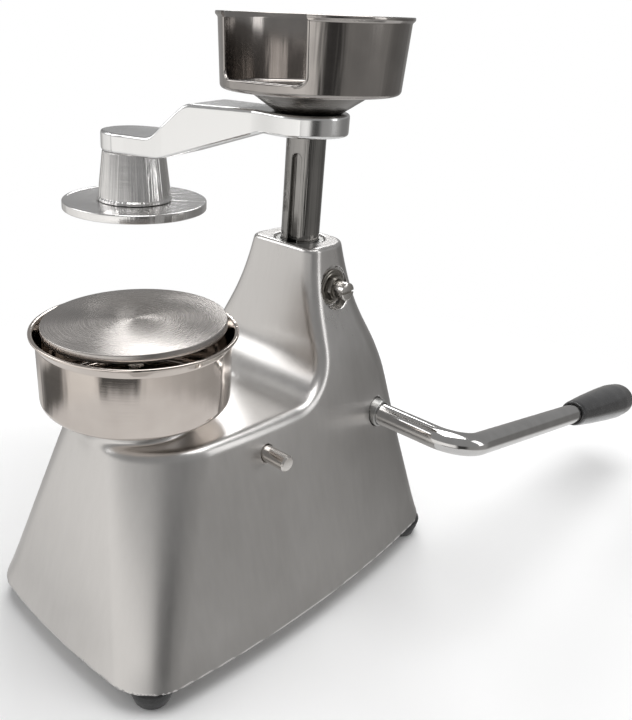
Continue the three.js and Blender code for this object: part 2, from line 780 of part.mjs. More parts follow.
function headArm() {
  const padR = 28;
  const bossR = 31;
  const web = [
    [-21.5, -20],
    [21.5, -20],
    [20.5, -32],
    [31, -112],
    [padR, -HEAD_REACH],
    [-padR, -HEAD_REACH],
    [-31, -112],
    [-20.5, -32],
  ];
  const plan = join(
    cylinderZ(bossR, 300, 380, 0, 0, 36),
    cylinderZ(padR, 300, 380, 0, -HEAD_REACH, 36),
    plateZ(web.reverse(), 300, 380),
  );
  const sideView = [
    [40, ARM_UNDER],
    [40, ARM_TOP],
    [-93, ARM_TOP],
    [-125, PAD_TOP],
    [-200, PAD_TOP],
    [-200, PAD_UNDER],
    [-117, PAD_UNDER],
    [-28, ARM_UNDER],
  ];
  const arm = plan.intersect(plateX(sideView, -60, 60));
  const setScrew = new THREE.CylinderGeometry(4 + GAP, 4 + GAP, 30, 16);
  setScrew.rotateZ(Math.PI / 2).translate(-25, 0, 359);
  return cut(
    arm,
    cylinderZ(COLUMN_R + GAP, 340, 380, 0, 0, 32),
    cylinderZ(5 + GAP, 310, 334.5, 0, -HEAD_REACH, 16),
    solid(setScrew),
  );
}

function armSetScrew() {
  return cylinderX(4, -30.5, -COLUMN_R - GAP, 0, 359, 16);
}

function pressHub() {
  return turnedRing([
    [5 + GAP, PLATE_TOP + GAP],
    [32.3, PLATE_TOP + GAP],
    [32.3, PLATE_TOP + 2],
    [27.6, PAD_UNDER - 1],
    [27, PAD_UNDER - GAP],
    [5 + GAP, PAD_UNDER - GAP],
  ]).translate([0, -HEAD_REACH, 0]);
}

function pressPlate() {
  return turnedRing([
    [5 + GAP, PLATE_TOP],
    [5 + GAP, PLATE_UNDER + 5.2],
    [10.6, PLATE_UNDER],
    [PLATE_R - 0.8, PLATE_UNDER],
    [PLATE_R, PLATE_UNDER + 0.8],
    [PLATE_R, PLATE_TOP - 0.8],
    [PLATE_R - 0.8, PLATE_TOP],
  ], WIDE_SIDES).translate([0, -HEAD_REACH, 0]);
}

function pressPlateScrew() {
  return turned([
    [0, PLATE_UNDER + 0.4],
    [9.8, PLATE_UNDER + 0.4],
    [5, PLATE_UNDER + 5.2],
    [5, 334],
    [0, 334],
  ], 20).translate([0, -HEAD_REACH, 0]);
}

function holderDish() {
  return turnedRing([
    [4.6, ARM_TOP + GAP],
    [25.5, ARM_TOP + GAP],
    [46.8, HOLDER_FLOOR - GAP],
    [44.2, HOLDER_FLOOR - GAP],
    [24.4, ARM_TOP + 2.3],
    [4.6, ARM_TOP + 2.3],
  ]);
}

// A sheet-metal cup for patty papers, with a finger cut-out in its wall.
function paperHolder() {
  const lowR = 66.2;
  const topR = 68.8;
  const cup = turnedRing([
    [4.6, HOLDER_FLOOR],
    [lowR - 3, HOLDER_FLOOR],
    [lowR - 0.8, HOLDER_FLOOR + 1],
    [lowR, HOLDER_FLOOR + 3.2],
    [topR, HOLDER_RIM - 3.5],
    [topR + 1.4, HOLDER_RIM - 2],
    [topR + 2, HOLDER_RIM - 0.8],
    [topR + 1.2, HOLDER_RIM],
    [topR - SHEET + 0.5, HOLDER_RIM - 2.5],
    [topR - SHEET, HOLDER_RIM - 4.5],
    [lowR - SHEET, HOLDER_FLOOR + 3.6],
    [lowR - 3.4, HOLDER_FLOOR + SHEET],
    [4.6, HOLDER_FLOOR + SHEET],
  ], WIDE_SIDES);
  const half = 35;
  const sill = HOLDER_FLOOR + 7;
  const round = 7;
  const window = [
    [-half, HOLDER_RIM + 10],
    ...arc(-half + round, sill + round, round, 180, 270, 4),
    ...arc(half - round, sill + round, round, 270, 360, 4),
    [half, HOLDER_RIM + 10],
  ];
  const middle = THREE.MathUtils.degToRad(-8);
  const cutter = plateX(window, 40, 90).rotate([0, 0, THREE.MathUtils.radToDeg(middle)]);
  return cut(cup, cutter);
}

function holderScrew() {
  const floor = HOLDER_FLOOR + SHEET;
  return turned([
    [0, 344],
    [4, 344],
    [4, floor + 0.3],
    [8, floor + 0.3],
    [8, floor + 2.2],
    [6.4, floor + 3.8],
    [0, floor + 3.8],
  ], 20);
}

// ---------------------------------------------------------------- assembly

const press = new THREE.Group();
const head = new THREE.Group();
head.rotation.z = -HEAD_SWING;

function add(group, name, body, finish, x = 0, y = 0) {
  const mesh = new THREE.Mesh(geometryOf(body), new THREE.MeshStandardMaterial(FINISH[finish]));
  mesh.name = name;
  mesh.position.set(x, y, 0);
  group.add(mesh);
}

add(press, 'body_casting', bodyCasting(), 'castAluminium');
for (const [place, [x, y]] of Object.entries(FOOT_PLACES)) {
  add(press, `foot_${place}`, foot(), 'rubber', x, y);
  add(press, `foot_screw_${place}`, footScrew(), 'zincSteel', x, y);
}
add(press, 'column_bush', columnBush(), 'zincSteel');
add(press, 'guide_screw', guideScrew(), 'polishedSteel');
add(press, 'guide_washer', guideWasher(), 'zincSteel');
add(press, 'guide_lock_nut', guideLockNut(), 'zincSteel');

add(press, 'mould_bowl', mouldBowl(), 'polishedSteel');
bowlScrewPlaces().forEach(([x, y], index) => {
  add(press, `bowl_screw_${index + 1}`, bowlScrew(), 'zincSteel', x, y);
});
add(press, 'ejector_bush', ejectorBush(), 'bronze');
add(press, 'ejector_plate', ejectorPlate(), 'brushedSteel');
add(press, 'ejector_stem', ejectorStem(), 'polishedSteel');
add(press, 'stem_pin', stemPin(), 'zincSteel');

add(press, 'rocker_pivot_pin', pivotPin(), 'polishedSteel');
add(press, 'pivot_collar_left', pivotCollar(-23.6, -15.6), 'zincSteel');
add(press, 'pivot_collar_right', pivotCollar(34.6, 42.6), 'zincSteel');
add(press, 'ejector_rocker', ejectorRocker(), 'zincSteel');
add(press, 'link_pin_front', linkPin(LINK_END, LOWER_ARM_X[1] + GAP), 'polishedSteel');
add(press, 'drag_link', dragLink(), 'zincSteel');
add(press, 'link_pin_rear', linkPin(FINGER, SHAFT_INNER_END + 1), 'polishedSteel');

add(press, 'lever_bush_outer', leverBush(56, 77), 'zincSteel');
add(press, 'lever_bush_inner', leverBush(37.2, 54), 'bronze');
add(press, 'lever_rod', leverRod(), 'polishedSteel');
add(press, 'lever_grip', leverGrip(), 'blackGrip');
add(press, 'shaft_collar', shaftCollar(), 'zincSteel');
add(press, 'crank_arm', crankArm(), 'zincSteel');
add(press, 'crank_set_screw', crankSetScrew(), 'zincSteel');
add(press, 'crank_pin', crankPin(), 'polishedSteel');
add(press, 'crank_pin_clip', crankPinClip(), 'zincSteel');
add(press, 'lift_yoke', liftYoke(), 'zincSteel');

add(head, 'column', column(), 'polishedSteel');
add(head, 'column_washer', columnWasher(), 'zincSteel');
add(head, 'column_nut', columnNut(), 'zincSteel');
add(head, 'head_arm', headArm(), 'brightAluminium');
add(head, 'arm_set_screw', armSetScrew(), 'zincSteel');
add(head, 'press_hub', pressHub(), 'brightAluminium');
add(head, 'press_plate', pressPlate(), 'brightAluminium');
add(head, 'press_plate_screw', pressPlateScrew(), 'zincSteel');
add(head, 'holder_dish', holderDish(), 'brushedSteel');
add(head, 'paper_holder', paperHolder(), 'polishedSteel');
add(head, 'holder_screw', holderScrew(), 'zincSteel');
press.add(head);

press.position.set(COLUMN_X, COLUMN_Y, 0);

export default press;
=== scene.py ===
"""Looks of the hand-operated patty press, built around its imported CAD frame.

Lengths in the piece functions are millimetres from the lift column's axis (x, y) and the floor (z).
ORIGIN moves them to the row frame, and MM turns them into metres.
"""

import json
import math

import bmesh
import bpy
import numpy as np
import openvdb
from mathutils import Matrix, Vector


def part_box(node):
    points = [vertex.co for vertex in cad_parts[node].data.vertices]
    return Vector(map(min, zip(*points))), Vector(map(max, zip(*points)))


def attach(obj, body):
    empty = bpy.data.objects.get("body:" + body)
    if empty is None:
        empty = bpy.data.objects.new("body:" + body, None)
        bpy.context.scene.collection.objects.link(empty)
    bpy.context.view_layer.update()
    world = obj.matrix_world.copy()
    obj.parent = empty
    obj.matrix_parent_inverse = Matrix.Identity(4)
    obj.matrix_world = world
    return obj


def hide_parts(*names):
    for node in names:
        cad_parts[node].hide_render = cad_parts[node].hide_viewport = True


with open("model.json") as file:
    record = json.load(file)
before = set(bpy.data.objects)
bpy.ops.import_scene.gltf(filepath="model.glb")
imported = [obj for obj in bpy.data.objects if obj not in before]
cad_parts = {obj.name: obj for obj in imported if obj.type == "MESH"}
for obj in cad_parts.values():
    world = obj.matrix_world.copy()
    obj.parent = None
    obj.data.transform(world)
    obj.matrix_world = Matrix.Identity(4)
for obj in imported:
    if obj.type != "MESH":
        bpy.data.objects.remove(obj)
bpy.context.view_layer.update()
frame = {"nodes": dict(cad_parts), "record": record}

MM = 0.001


def middle(node):
    low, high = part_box(node)
    return (low + high) / 2


ORIGIN = middle("column_bush") * Vector((1, 1, 0))


def from_column(point):
    """A row-frame point as millimetres from the column's axis and the floor."""
    return np.array((Vector(point) - ORIGIN) / MM)


# ---------------------------------------------------------------- camera

CAMERA_PLACE = Vector((400.4, -464.1, 433.9)) * MM + ORIGIN
CAMERA_YAW = math.radians(44.84)
CAMERA_PITCH = math.radians(23.64)
CAMERA_ROLL = math.radians(2.23)
CAMERA_LENS = 39.62
CAMERA_SHIFT = (0.1053, -0.00375)


def make_camera():
    data = bpy.data.cameras.new("camera")
    data.sensor_width = 36
    data.lens = CAMERA_LENS
    data.shift_x, data.shift_y = CAMERA_SHIFT
    camera = bpy.data.objects.new("camera", data)
    forward = Vector((
        -math.sin(CAMERA_YAW) * math.cos(CAMERA_PITCH),
        math.cos(CAMERA_YAW) * math.cos(CAMERA_PITCH),
        -math.sin(CAMERA_PITCH),
    ))
    level = Vector((math.cos(CAMERA_YAW), math.sin(CAMERA_YAW), 0))
    upright = level.cross(forward)
    right = level * math.cos(CAMERA_ROLL) + upright * math.sin(CAMERA_ROLL)
    up = upright * math.cos(CAMERA_ROLL) - level * math.sin(CAMERA_ROLL)
    facing = Matrix((right, up, -forward)).transposed().to_4x4()
    camera.matrix_world = Matrix.Translation(CAMERA_PLACE) @ facing
    bpy.context.scene.collection.objects.link(camera)
    bpy.context.scene.camera = camera


make_camera()


# ---------------------------------------------------------------- materials

def nodes_of(name):
    material = bpy.data.materials.new(name)
    material.use_nodes = True
    tree = material.node_tree
    shader = tree.nodes["Principled BSDF"]
    return material, tree, shader


def add_node(tree, kind, values=None, **settings):
    made = tree.nodes.new(kind)
    for key, value in settings.items():
        setattr(made, key, value)
    for socket, value in (values or {}).items():
        if isinstance(value, bpy.types.NodeSocket):
            tree.links.new(value, made.inputs[socket])
        else:
            made.inputs[socket].default_value = value
    return made


def object_place(tree, centre=(0, 0, 0)):
    """The surface point in metres, measured from centre."""
    coordinates = add_node(tree, "ShaderNodeTexCoord")
    moved = add_node(tree, "ShaderNodeVectorMath", {0: coordinates.outputs["Object"], 1: tuple(centre)},
                     operation="SUBTRACT")
    return moved.outputs[0]


def stretched_noise(tree, place, scale, detail=3.0, roughness=0.55):
    """Noise whose grains are 1/scale metres long along each axis."""
    scaled = add_node(tree, "ShaderNodeVectorMath", {0: place, 1: tuple(scale)}, operation="MULTIPLY")
    noise = add_node(tree, "ShaderNodeTexNoise", {
        "Vector": scaled.outputs[0], "Scale": 1.0, "Detail": detail, "Roughness": roughness,
    })
    return noise.outputs["Fac"]


def spread(tree, value, low, high, from_low=0.3, from_high=0.7):
    ranged = add_node(tree, "ShaderNodeMapRange", {
        "Value": value, "From Min": from_low, "From Max": from_high, "To Min": low, "To Max": high,
    })
    return ranged.outputs[0]


def tinted(tree, factor, first, second):
    mix = add_node(tree, "ShaderNodeMix", data_type="RGBA")
    tree.links.new(factor, mix.inputs["Factor"])
    mix.inputs["A"].default_value = (*first, 1)
    mix.inputs["B"].default_value = (*second, 1)
    return mix.outputs["Result"]


def bumped(tree, shader, height, strength, distance, normal=None):
    values = {"Height": height, "Strength": strength, "Distance": distance}
    if normal is not None:
        values["Normal"] = normal
    bump = add_node(tree, "ShaderNodeBump", values)
    tree.links.new(bump.outputs[0], shader.inputs["Normal"])
    return bump.outputs[0]


def around_axis(tree, place, axis):
    """Radius, angle and length along a row axis, for grain that follows a lathe's cut."""
    parts = add_node(tree, "ShaderNodeSeparateXYZ", {0: place})
    order = {"X": (1, 2, 0), "Y": (0, 2, 1), "Z": (0, 1, 2)}[axis]
    across, up, along = (parts.outputs[i] for i in order)
    flat = add_node(tree, "ShaderNodeCombineXYZ", {0: across, 1: up})
    radius = add_node(tree, "ShaderNodeVectorMath", {0: flat.outputs[0]}, operation="LENGTH")
    angle = add_node(tree, "ShaderNodeMath", {0: up, 1: across}, operation="ARCTAN2")
    return radius.outputs["Value"], angle.outputs[0], along


def lathe_grain(tree, place, axis, lines):
    """Fine rings as a turning tool leaves them; lines is rings per metre."""
    radius, angle, along = around_axis(tree, place, axis)
    turned_place = add_node(tree, "ShaderNodeCombineXYZ", {0: radius, 1: angle, 2: along})
    return stretched_noise(tree, turned_place.outputs[0], (lines, 0.8, lines), detail=4)


def cast_aluminium(name, light, dark, rough_low, rough_high, sanded=()):
    """Satin casting: soft tone patches, fine brushing, and lighter sanded rings around fittings."""
    material, tree, shader = nodes_of(name)
    place = object_place(tree)
    patches = stretched_noise(tree, place, (11, 11, 6), detail=2)
    brushed = stretched_noise(tree, place, (210, 210, 16), detail=3, roughness=0.5)
    tone = add_node(tree, "ShaderNodeMath", {
        0: spread(tree, patches, 0, 0.75), 1: spread(tree, brushed, 0, 0.25),
    }, operation="ADD").outputs[0]
    shader.inputs["Base Color"].default_value = (*light, 1)
    tree.links.new(tinted(tree, tone, dark, light), shader.inputs["Base Color"])
    rough = add_node(tree, "ShaderNodeMath", {
        0: spread(tree, brushed, rough_low, rough_high), 1: spread(tree, patches, -0.03, 0.03),
    }, operation="ADD").outputs[0]
    for point, radius in sanded:
        away = add_node(tree, "ShaderNodeVectorMath", {0: place, 1: tuple(point)}, operation="DISTANCE")
        ring = spread(tree, away.outputs["Value"], 0.06, 0.0, radius * 0.3, radius)
        rough = add_node(tree, "ShaderNodeMath", {0: rough, 1: ring}, operation="ADD").outputs[0]
    tree.links.new(rough, shader.inputs["Roughness"])
    shader.inputs["Metallic"].default_value = 1
    bumped(tree, shader, patches, 0.16, 0.0016)
    return material


def fluting(tree, place, axis, count):
    """Slow unevenness round an axis, which breaks a reflection into upright streaks."""
    parts = add_node(tree, "ShaderNodeSeparateXYZ", {0: place})
    order = {"X": (1, 2, 0), "Y": (0, 2, 1), "Z": (0, 1, 2)}[axis]
    across, up, along = (parts.outputs[i] for i in order)
    flat = add_node(tree, "ShaderNodeCombineXYZ", {0: across, 1: up})
    outwards = add_node(tree, "ShaderNodeVectorMath", {0: flat.outputs[0]}, operation="NORMALIZE")
    lifted = add_node(tree, "ShaderNodeCombineXYZ", {2: along})
    joined = add_node(tree, "ShaderNodeVectorMath", {0: outwards.outputs[0], 1: lifted.outputs[0]},
                      operation="ADD")
    return stretched_noise(tree, joined.outputs[0], (count, count, 6), detail=3)


def turned_metal(name, light, dark, rough_low, rough_high, centre, axis="Z", lines=1400, bump=0.05,
                 streaks=0.0, anisotropy=0.0, flutes=(0, 0), grain_turn=0.25):
    """Machined or polished metal whose fine rings run round an axis; flutes is their count and depth."""
    material, tree, shader = nodes_of(name)
    place = object_place(tree, centre)
    rings = lathe_grain(tree, place, axis, lines)
    broad = stretched_noise(tree, place, (35, 35, 35), detail=2)
    tree.links.new(tinted(tree, spread(tree, broad, 0, 1), dark, light), shader.inputs["Base Color"])
    rough = spread(tree, rings, rough_low, rough_high)
    tree.links.new(rough, shader.inputs["Roughness"])
    shader.inputs["Metallic"].default_value = 1
    shader.inputs["Anisotropic"].default_value = anisotropy
    if anisotropy:
        tangent = add_node(tree, "ShaderNodeTangent", direction_type="RADIAL", axis=axis)
        tree.links.new(tangent.outputs[0], shader.inputs["Tangent"])
        shader.inputs["Anisotropic Rotation"].default_value = grain_turn
    relief = bumped(tree, shader, rings, bump, 0.0002)
    if streaks:
        relief = bumped(tree, shader, broad, streaks, 0.001, relief)
    count, depth = flutes
    if count:
        bumped(tree, shader, fluting(tree, place, axis, count), 1, depth, relief)
    return material


def plain_metal(name, light, dark, rough_low, rough_high, grain=500, bump=0.08):
    """Small steel fittings: a dull even surface with a little tarnish."""
    material, tree, shader = nodes_of(name)
    place = object_place(tree)
    tarnish = stretched_noise(tree, place, (60, 60, 60), detail=4)
    fine = stretched_noise(tree, place, (grain, grain, grain), detail=3)
    tree.links.new(tinted(tree, spread(tree, tarnish, 0, 1), dark, light), shader.inputs["Base Color"])
    tree.links.new(spread(tree, fine, rough_low, rough_high), shader.inputs["Roughness"])
    shader.inputs["Metallic"].default_value = 1
    bumped(tree, shader, fine, bump, 0.0002)
    return material


def moulded(name, colour, worn, rough_low, rough_high, grain, bump, coat=0.0):
    """Rubber and plastic: moulded grain, faint dust in the colour."""
    material, tree, shader = nodes_of(name)
    place = object_place(tree)
    dust = stretched_noise(tree, place, (90, 90, 90), detail=5)
    fine = stretched_noise(tree, place, (grain, grain, grain), detail=3)
    dusty = spread(tree, dust, 0, 1, 0.4, 0.8)
    tree.links.new(tinted(tree, dusty, colour, worn), shader.inputs["Base Color"])
    tree.links.new(spread(tree, fine, rough_low, rough_high), shader.inputs["Roughness"])
    shader.inputs["Coat Weight"].default_value = coat
    shader.inputs["Coat Roughness"].default_value = 0.08
    bumped(tree, shader, fine, bump, 0.0003)
    return material


COLUMN_AXIS = middle("column_bush")
BOWL_AXIS = middle("mould_bowl")
PRESS_AXIS = middle("press_plate")
PIN_AXIS = middle("rocker_pivot_pin")
GUIDE_AXIS = middle("guide_screw")
SHAFT_AXIS = middle("lever_bush_outer")
PIN_IN_WALL = Vector((middle("pivot_collar_right").x + 0.025, PIN_AXIS.y, PIN_AXIS.z))

CAST = cast_aluminium("cast_aluminium", (0.68, 0.665, 0.65), (0.58, 0.565, 0.55), 0.285, 0.315,
                      sanded=[(PIN_IN_WALL, 0.026), (SHAFT_AXIS, 0.03)])
ARM_METAL = cast_aluminium("arm_aluminium", (0.84, 0.84, 0.835), (0.78, 0.78, 0.775), 0.185, 0.21)
HUB_METAL = turned_metal("hub_machined", (0.80, 0.79, 0.78), (0.74, 0.73, 0.72), 0.12, 0.22, PRESS_AXIS,
                         lines=1100, bump=0.05, anisotropy=0.4, flutes=(8, 0.0012))
PLATE_METAL = turned_metal("plate_machined", (0.84, 0.83, 0.82), (0.78, 0.77, 0.76), 0.14, 0.26, PRESS_AXIS,
                           lines=900, bump=0.1, anisotropy=0.4, flutes=(8, 0.0006))
BOWL_METAL = turned_metal("bowl_polished", (0.70, 0.64, 0.59), (0.62, 0.56, 0.515), 0.05, 0.11, BOWL_AXIS,
                          lines=2200, bump=0.015, streaks=0.03, flutes=(3, 0.0006))
DISC_METAL = turned_metal("disc_brushed", (0.52, 0.49, 0.47), (0.46, 0.435, 0.415), 0.22, 0.32, BOWL_AXIS,
                          lines=1500, bump=0.04, anisotropy=0.85, grain_turn=0)
HOLDER_METAL = turned_metal("holder_polished", (0.42, 0.395, 0.375), (0.34, 0.32, 0.305), 0.15, 0.17,
                            COLUMN_AXIS, lines=2200, bump=0.015, streaks=0.02, flutes=(5, 0.0005))
# Near-black steel for the dish under the holder cup: the darkness is painted shade, standing in for the
# shadow the cup casts on the dish
PAINTED_SHADE_DARK_STEEL = turned_metal("dish_steel_painted_shade", (0.20, 0.19, 0.18), (0.15, 0.14, 0.13), 0.2, 0.32, COLUMN_AXIS)
COLUMN_METAL = turned_metal("column_ground", (0.30, 0.29, 0.28), (0.24, 0.235, 0.225), 0.07, 0.14,
                            COLUMN_AXIS, lines=2600, bump=0.02, flutes=(7, 0.0005))
ROD_METAL = plain_metal("rod_chrome", (0.70, 0.69, 0.68), (0.62, 0.61, 0.6), 0.07, 0.13, grain=700, bump=0.01)
PIN_METAL = turned_metal("pin_steel", (0.74, 0.71, 0.68), (0.64, 0.61, 0.58), 0.12, 0.24, PIN_AXIS, axis="X",
                         lines=2000, bump=0.08)
GUIDE_METAL = turned_metal("guide_steel", (0.74, 0.72, 0.69), (0.52, 0.5, 0.47), 0.12, 0.26,
                           GUIDE_AXIS, axis="X", lines=1700, bump=0.12)
# Dark steel for the guide screw's washer and lock nut: the darkness is painted shade for the recess they sit
# in
RECESS_PAINTED_SHADE_STEEL = turned_metal("washer_steel_painted_shade", (0.34, 0.32, 0.29), (0.2, 0.19, 0.17), 0.25, 0.42,
                            GUIDE_AXIS, axis="X", lines=900, bump=0.2)
ZINC = plain_metal("zinc_steel", (0.5, 0.5, 0.49), (0.38, 0.375, 0.36), 0.28, 0.42)
BRONZE = plain_metal("bearing_bronze", (0.55, 0.4, 0.2), (0.42, 0.3, 0.15), 0.28, 0.42)
RUBBER = moulded("foot_rubber", (0.016, 0.016, 0.017), (0.045, 0.044, 0.043), 0.5, 0.72, 1400, 0.25)
GRIP = moulded("grip_black", (0.018, 0.018, 0.019), (0.040, 0.040, 0.041), 0.16, 0.30, 900, 0.12, coat=0.8)


# ---------------------------------------------------------------- meshes

def frame_slot(node):
    """The record's material slot of a CAD node."""
    return next(part["material_slot"] for part in frame["record"]["subparts"] if part["node"] == node)


def piece(name, points, faces, body, material, replaced=(), sharp=38, normals=None):
    """A mesh piece from millimetre points, riding on a CAD body."""
    mesh = bpy.data.meshes.new(name)
    place = np.asarray(points, float) * MM + np.array(ORIGIN)
    mesh.from_pydata(place.tolist(), [], [tuple(face) for face in faces])
    mesh.validate()
    made = bpy.data.objects.new(name, mesh)
    bpy.context.scene.collection.objects.link(made)
    mesh.materials.append(material)
    shade(mesh, sharp, normals)
    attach(made, body)
    if replaced:
        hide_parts(*replaced)
    return made


def shade(mesh, sharp, normals=None):
    mesh.polygons.foreach_set("use_smooth", [True] * len(mesh.polygons))
    if normals is not None:
        mesh.normals_split_custom_set_from_vertices([tuple(n) for n in normals])
        return
    work = bmesh.new()
    work.from_mesh(mesh)
    bmesh.ops.recalc_face_normals(work, faces=work.faces)
    limit = math.radians(sharp)
    for edge in work.edges:
        edge.smooth = edge.calc_face_angle(0) < limit
    work.to_mesh(mesh)
    work.free()


def rounded(corners, closed=False, steps=5):
    """A profile's corners (radius, height, rounding) with each one rounded by an arc-like curve."""
    points = []
    count = len(corners)
    for i, (x, y, rounding) in enumerate(corners):
        here = np.array((x, y), float)
        if rounding <= 0 or (not closed and i in (0, count - 1)):
            points.append(here)
            continue
        before = np.array(corners[i - 1][:2], float)
        after = np.array(corners[(i + 1) % count][:2], float)
        towards = before - here
        onwards = after - here
        a, b = np.linalg.norm(towards), np.linalg.norm(onwards)
        towards, onwards = towards / a, onwards / b
        half = math.acos(max(-1, min(1, towards @ onwards))) / 2
        reach = min(rounding / max(math.tan(half), 1e-6), 0.49 * a, 0.49 * b)
        radius = reach * math.tan(half)
        inwards = towards + onwards
        if radius < 1e-6 or np.linalg.norm(inwards) < 1e-6:
            points.append(here)
            continue
        centre = here + inwards / np.linalg.norm(inwards) * (radius / math.sin(half))
        first, last = here + towards * reach - centre, here + onwards * reach - centre
        sweep = math.pi - 2 * half
        turn = 1 if first[0] * last[1] - first[1] * last[0] > 0 else -1
        for k in range(steps + 1):
            angle = turn * sweep * k / steps
            points.append(centre + np.array((
                first[0] * math.cos(angle) - first[1] * math.sin(angle),
                first[0] * math.sin(angle) + first[1] * math.cos(angle),
            )))
    return [tuple(p) for p in points]


def turned(profile, segments=96, closed=False):
    """Points and faces of a (radius, height) profile turned about the Z axis."""
    points, rows = [], []
    for radius, height in profile:
        if radius < 1e-6:
            rows.append([len(points)] * segments)
            points.append((0, 0, height))
            continue
        rows.append(list(range(len(points), len(points) + segments)))
        for i in range(segments):
            angle = 2 * math.pi * i / segments
            points.append((radius * math.cos(angle), radius * math.sin(angle), height))
    pairs = list(zip(rows, rows[1:] + rows[:1] if closed else rows[1:]))
    faces = []
    for low, high in pairs:
        for i in range(segments):
            j = (i + 1) % segments
            corners = [low[i], low[j], high[j], high[i]]
            face = [c for k, c in enumerate(corners) if c not in corners[:k]]
            if len(face) > 2:
                faces.append(face)
    return np.array(points), faces


ALONG_X = np.array([[0, 0, 1], [0, 1, 0], [-1, 0, 0]], float)


def laid(points, centre, rotation=None):
    """Turned points moved to their place, with their axis first turned from +Z by rotation."""
    moved = np.asarray(points) if rotation is None else np.asarray(points) @ rotation.T
    return moved + np.array(centre, float)


def smooth_max(a, b, blend):
    h = np.maximum(blend - np.abs(a - b), 0) / blend
    return np.maximum(a, b) + h * h * blend / 4


def smooth_min(a, b, blend):
    return -smooth_max(-a, -b, blend)


def field_mesh(field, low, high, step):
    """The surface field = 0 (negative inside), with the field's own directions as normals."""
    axes = [np.arange(l, h + step, step) for l, h in zip(low, high)]
    grid = np.meshgrid(*axes, indexing="ij", sparse=True)
    values = np.ascontiguousarray(np.broadcast_to(field(*grid), [len(a) for a in axes]), np.float32)
    volume = openvdb.FloatGrid(step * 3)
    volume.copyFromArray(values)
    points, _, quads = volume.convertToPolygons(isovalue=0, adaptivity=0)
    points = points.astype(float) * step + np.array([a[0] for a in axes])
    small = 0.05

    def slope(at):
        parts = []
        for i in range(3):
            shift = np.zeros(3)
            shift[i] = small
            parts.append((field(*(at + shift).T) - field(*(at - shift).T)) / (2 * small))
        return np.stack(parts, axis=1)

    for _ in range(3):
        gradient = slope(points)
        size = np.maximum((gradient ** 2).sum(1), 0.05)
        move = (field(*points.T) / size)[:, None] * gradient
        length = np.maximum(np.linalg.norm(move, axis=1, keepdims=True), 1e-9)
        points = points - move * np.minimum(1, 0.6 * step / length)
    gradient = slope(points)
    normals = gradient / np.maximum(np.linalg.norm(gradient, axis=1, keepdims=True), 1e-9)
    first = points[quads[:, 0]]
    turn = np.cross(points[quads[:, 1]] - first, points[quads[:, 2]] - first)
    if (turn * normals[quads[:, 0]]).sum() < 0:
        quads = quads[:, ::-1]
    return points, quads.tolist(), normals


# ---------------------------------------------------------------- cast body

# z, half width, side bulge, front y, rear y, front bulge, rear bulge, front and rear corner radius,
# and how much narrower the rear is than the front
BODY_SECTIONS = np.array([
    [17, 93.5, 13.4, -233.9, 98.5, 7.2, 10, 28, 26.5, 0.03],
    [30, 89.7, 13, -230, 94.4, 7.6, 9.8, 29, 26.2, 0.028],
    [100, 74.8, 11.2, -211.8, 75, 9, 9, 36, 26, 0.014],
    [168, 60.5, 9, -195, 58, 8.5, 8, 45, 24, 0],
    [190, 55.5, 7, -190, 48.5, 8, 7, 45, 23, 0],
    [208, 49.5, 5, -187, 39, 8, 6, 40, 22, 0],
    [224, 43.5, 3, -184, 33, 8, 5, 36, 21, 0],
    [240, 38.5, 2, -182, 29.5, 8, 4, 32, 20, 0],
    [256, 35, 1, -180, 25.5, 8, 3.5, 30, 19, 0],
    [272, 32.5, 0.5, -178, 22, 8, 3, 28, 18, 0],
])
BODY_BOTTOM = 17
TOWER_TOP = 272
PLATFORM = 168
WALL = 5.5
CAVITY_TOP = 220
TOWER_FOOT_RADIUS = 35
TOWER_FRONT = np.array([[160, -33], [203, -32.5], [222, -29.5], [240, -27], [272, -23], [290, -20.5]])
SEAT_R = 42
SEAT_TOP = 183.1
EDGE_BLEND = (7, 11.5)                 # along the platform's edge and up the tower's front corners
EDGE_BLEND_HEIGHTS = (172, 212)
GUIDE_RECESS_X = 35
SHAFT_BOSS_R, SHAFT_BOSS_START = 17, 37
PIVOT_BOSS_R, PIVOT_BOSS_START = 12, 56
STEM_BOSS_R, STEM_BOSS_START = 15, 150
FOOT_BOSS_R, FOOT_BOSS_TOP = 12, 44
COLUMN_BORE_R = 19.3
GUIDE_RECESS_R, GUIDE_BORE_R = 16, 5.8
SHAFT_BORE_R = 11.3
PIVOT_BORE_R = 6.15
STEM_BORE_R = 9.3
BOSS_INSET = 3.1                       # keeps the inner bosses from showing outside
TOP_BLEND = 3


def smoothed_table(table, low, high, spread_mm):
    """The table's columns on even heights, with the kinks between its rows smoothed out."""
    heights = np.arange(low - 60, high + 61, 1.0)
    kernel = np.exp(-0.5 * (np.arange(-40, 41) / spread_mm) ** 2)
    kernel /= kernel.sum()
    columns = []
    for column in table.T[1:]:
        ends = [(column[1] - column[0]) / (table[1, 0] - table[0, 0]),
                (column[-1] - column[-2]) / (table[-1, 0] - table[-2, 0])]
        raw = np.interp(heights, table[:, 0], column)
        raw = np.where(heights < table[0, 0], column[0] + ends[0] * (heights - table[0, 0]), raw)
        raw = np.where(heights > table[-1, 0], column[-1] + ends[1] * (heights - table[-1, 0]), raw)
        columns.append(np.convolve(np.pad(raw, 40, mode="reflect", reflect_type="odd"), kernel, "valid"))
    return heights, columns


SECTION_HEIGHTS, SECTION_COLUMNS = smoothed_table(BODY_SECTIONS, 17, 272, 7)
FRONT_HEIGHTS, (FRONT_Y,) = smoothed_table(TOWER_FRONT, 160, 290, 7)


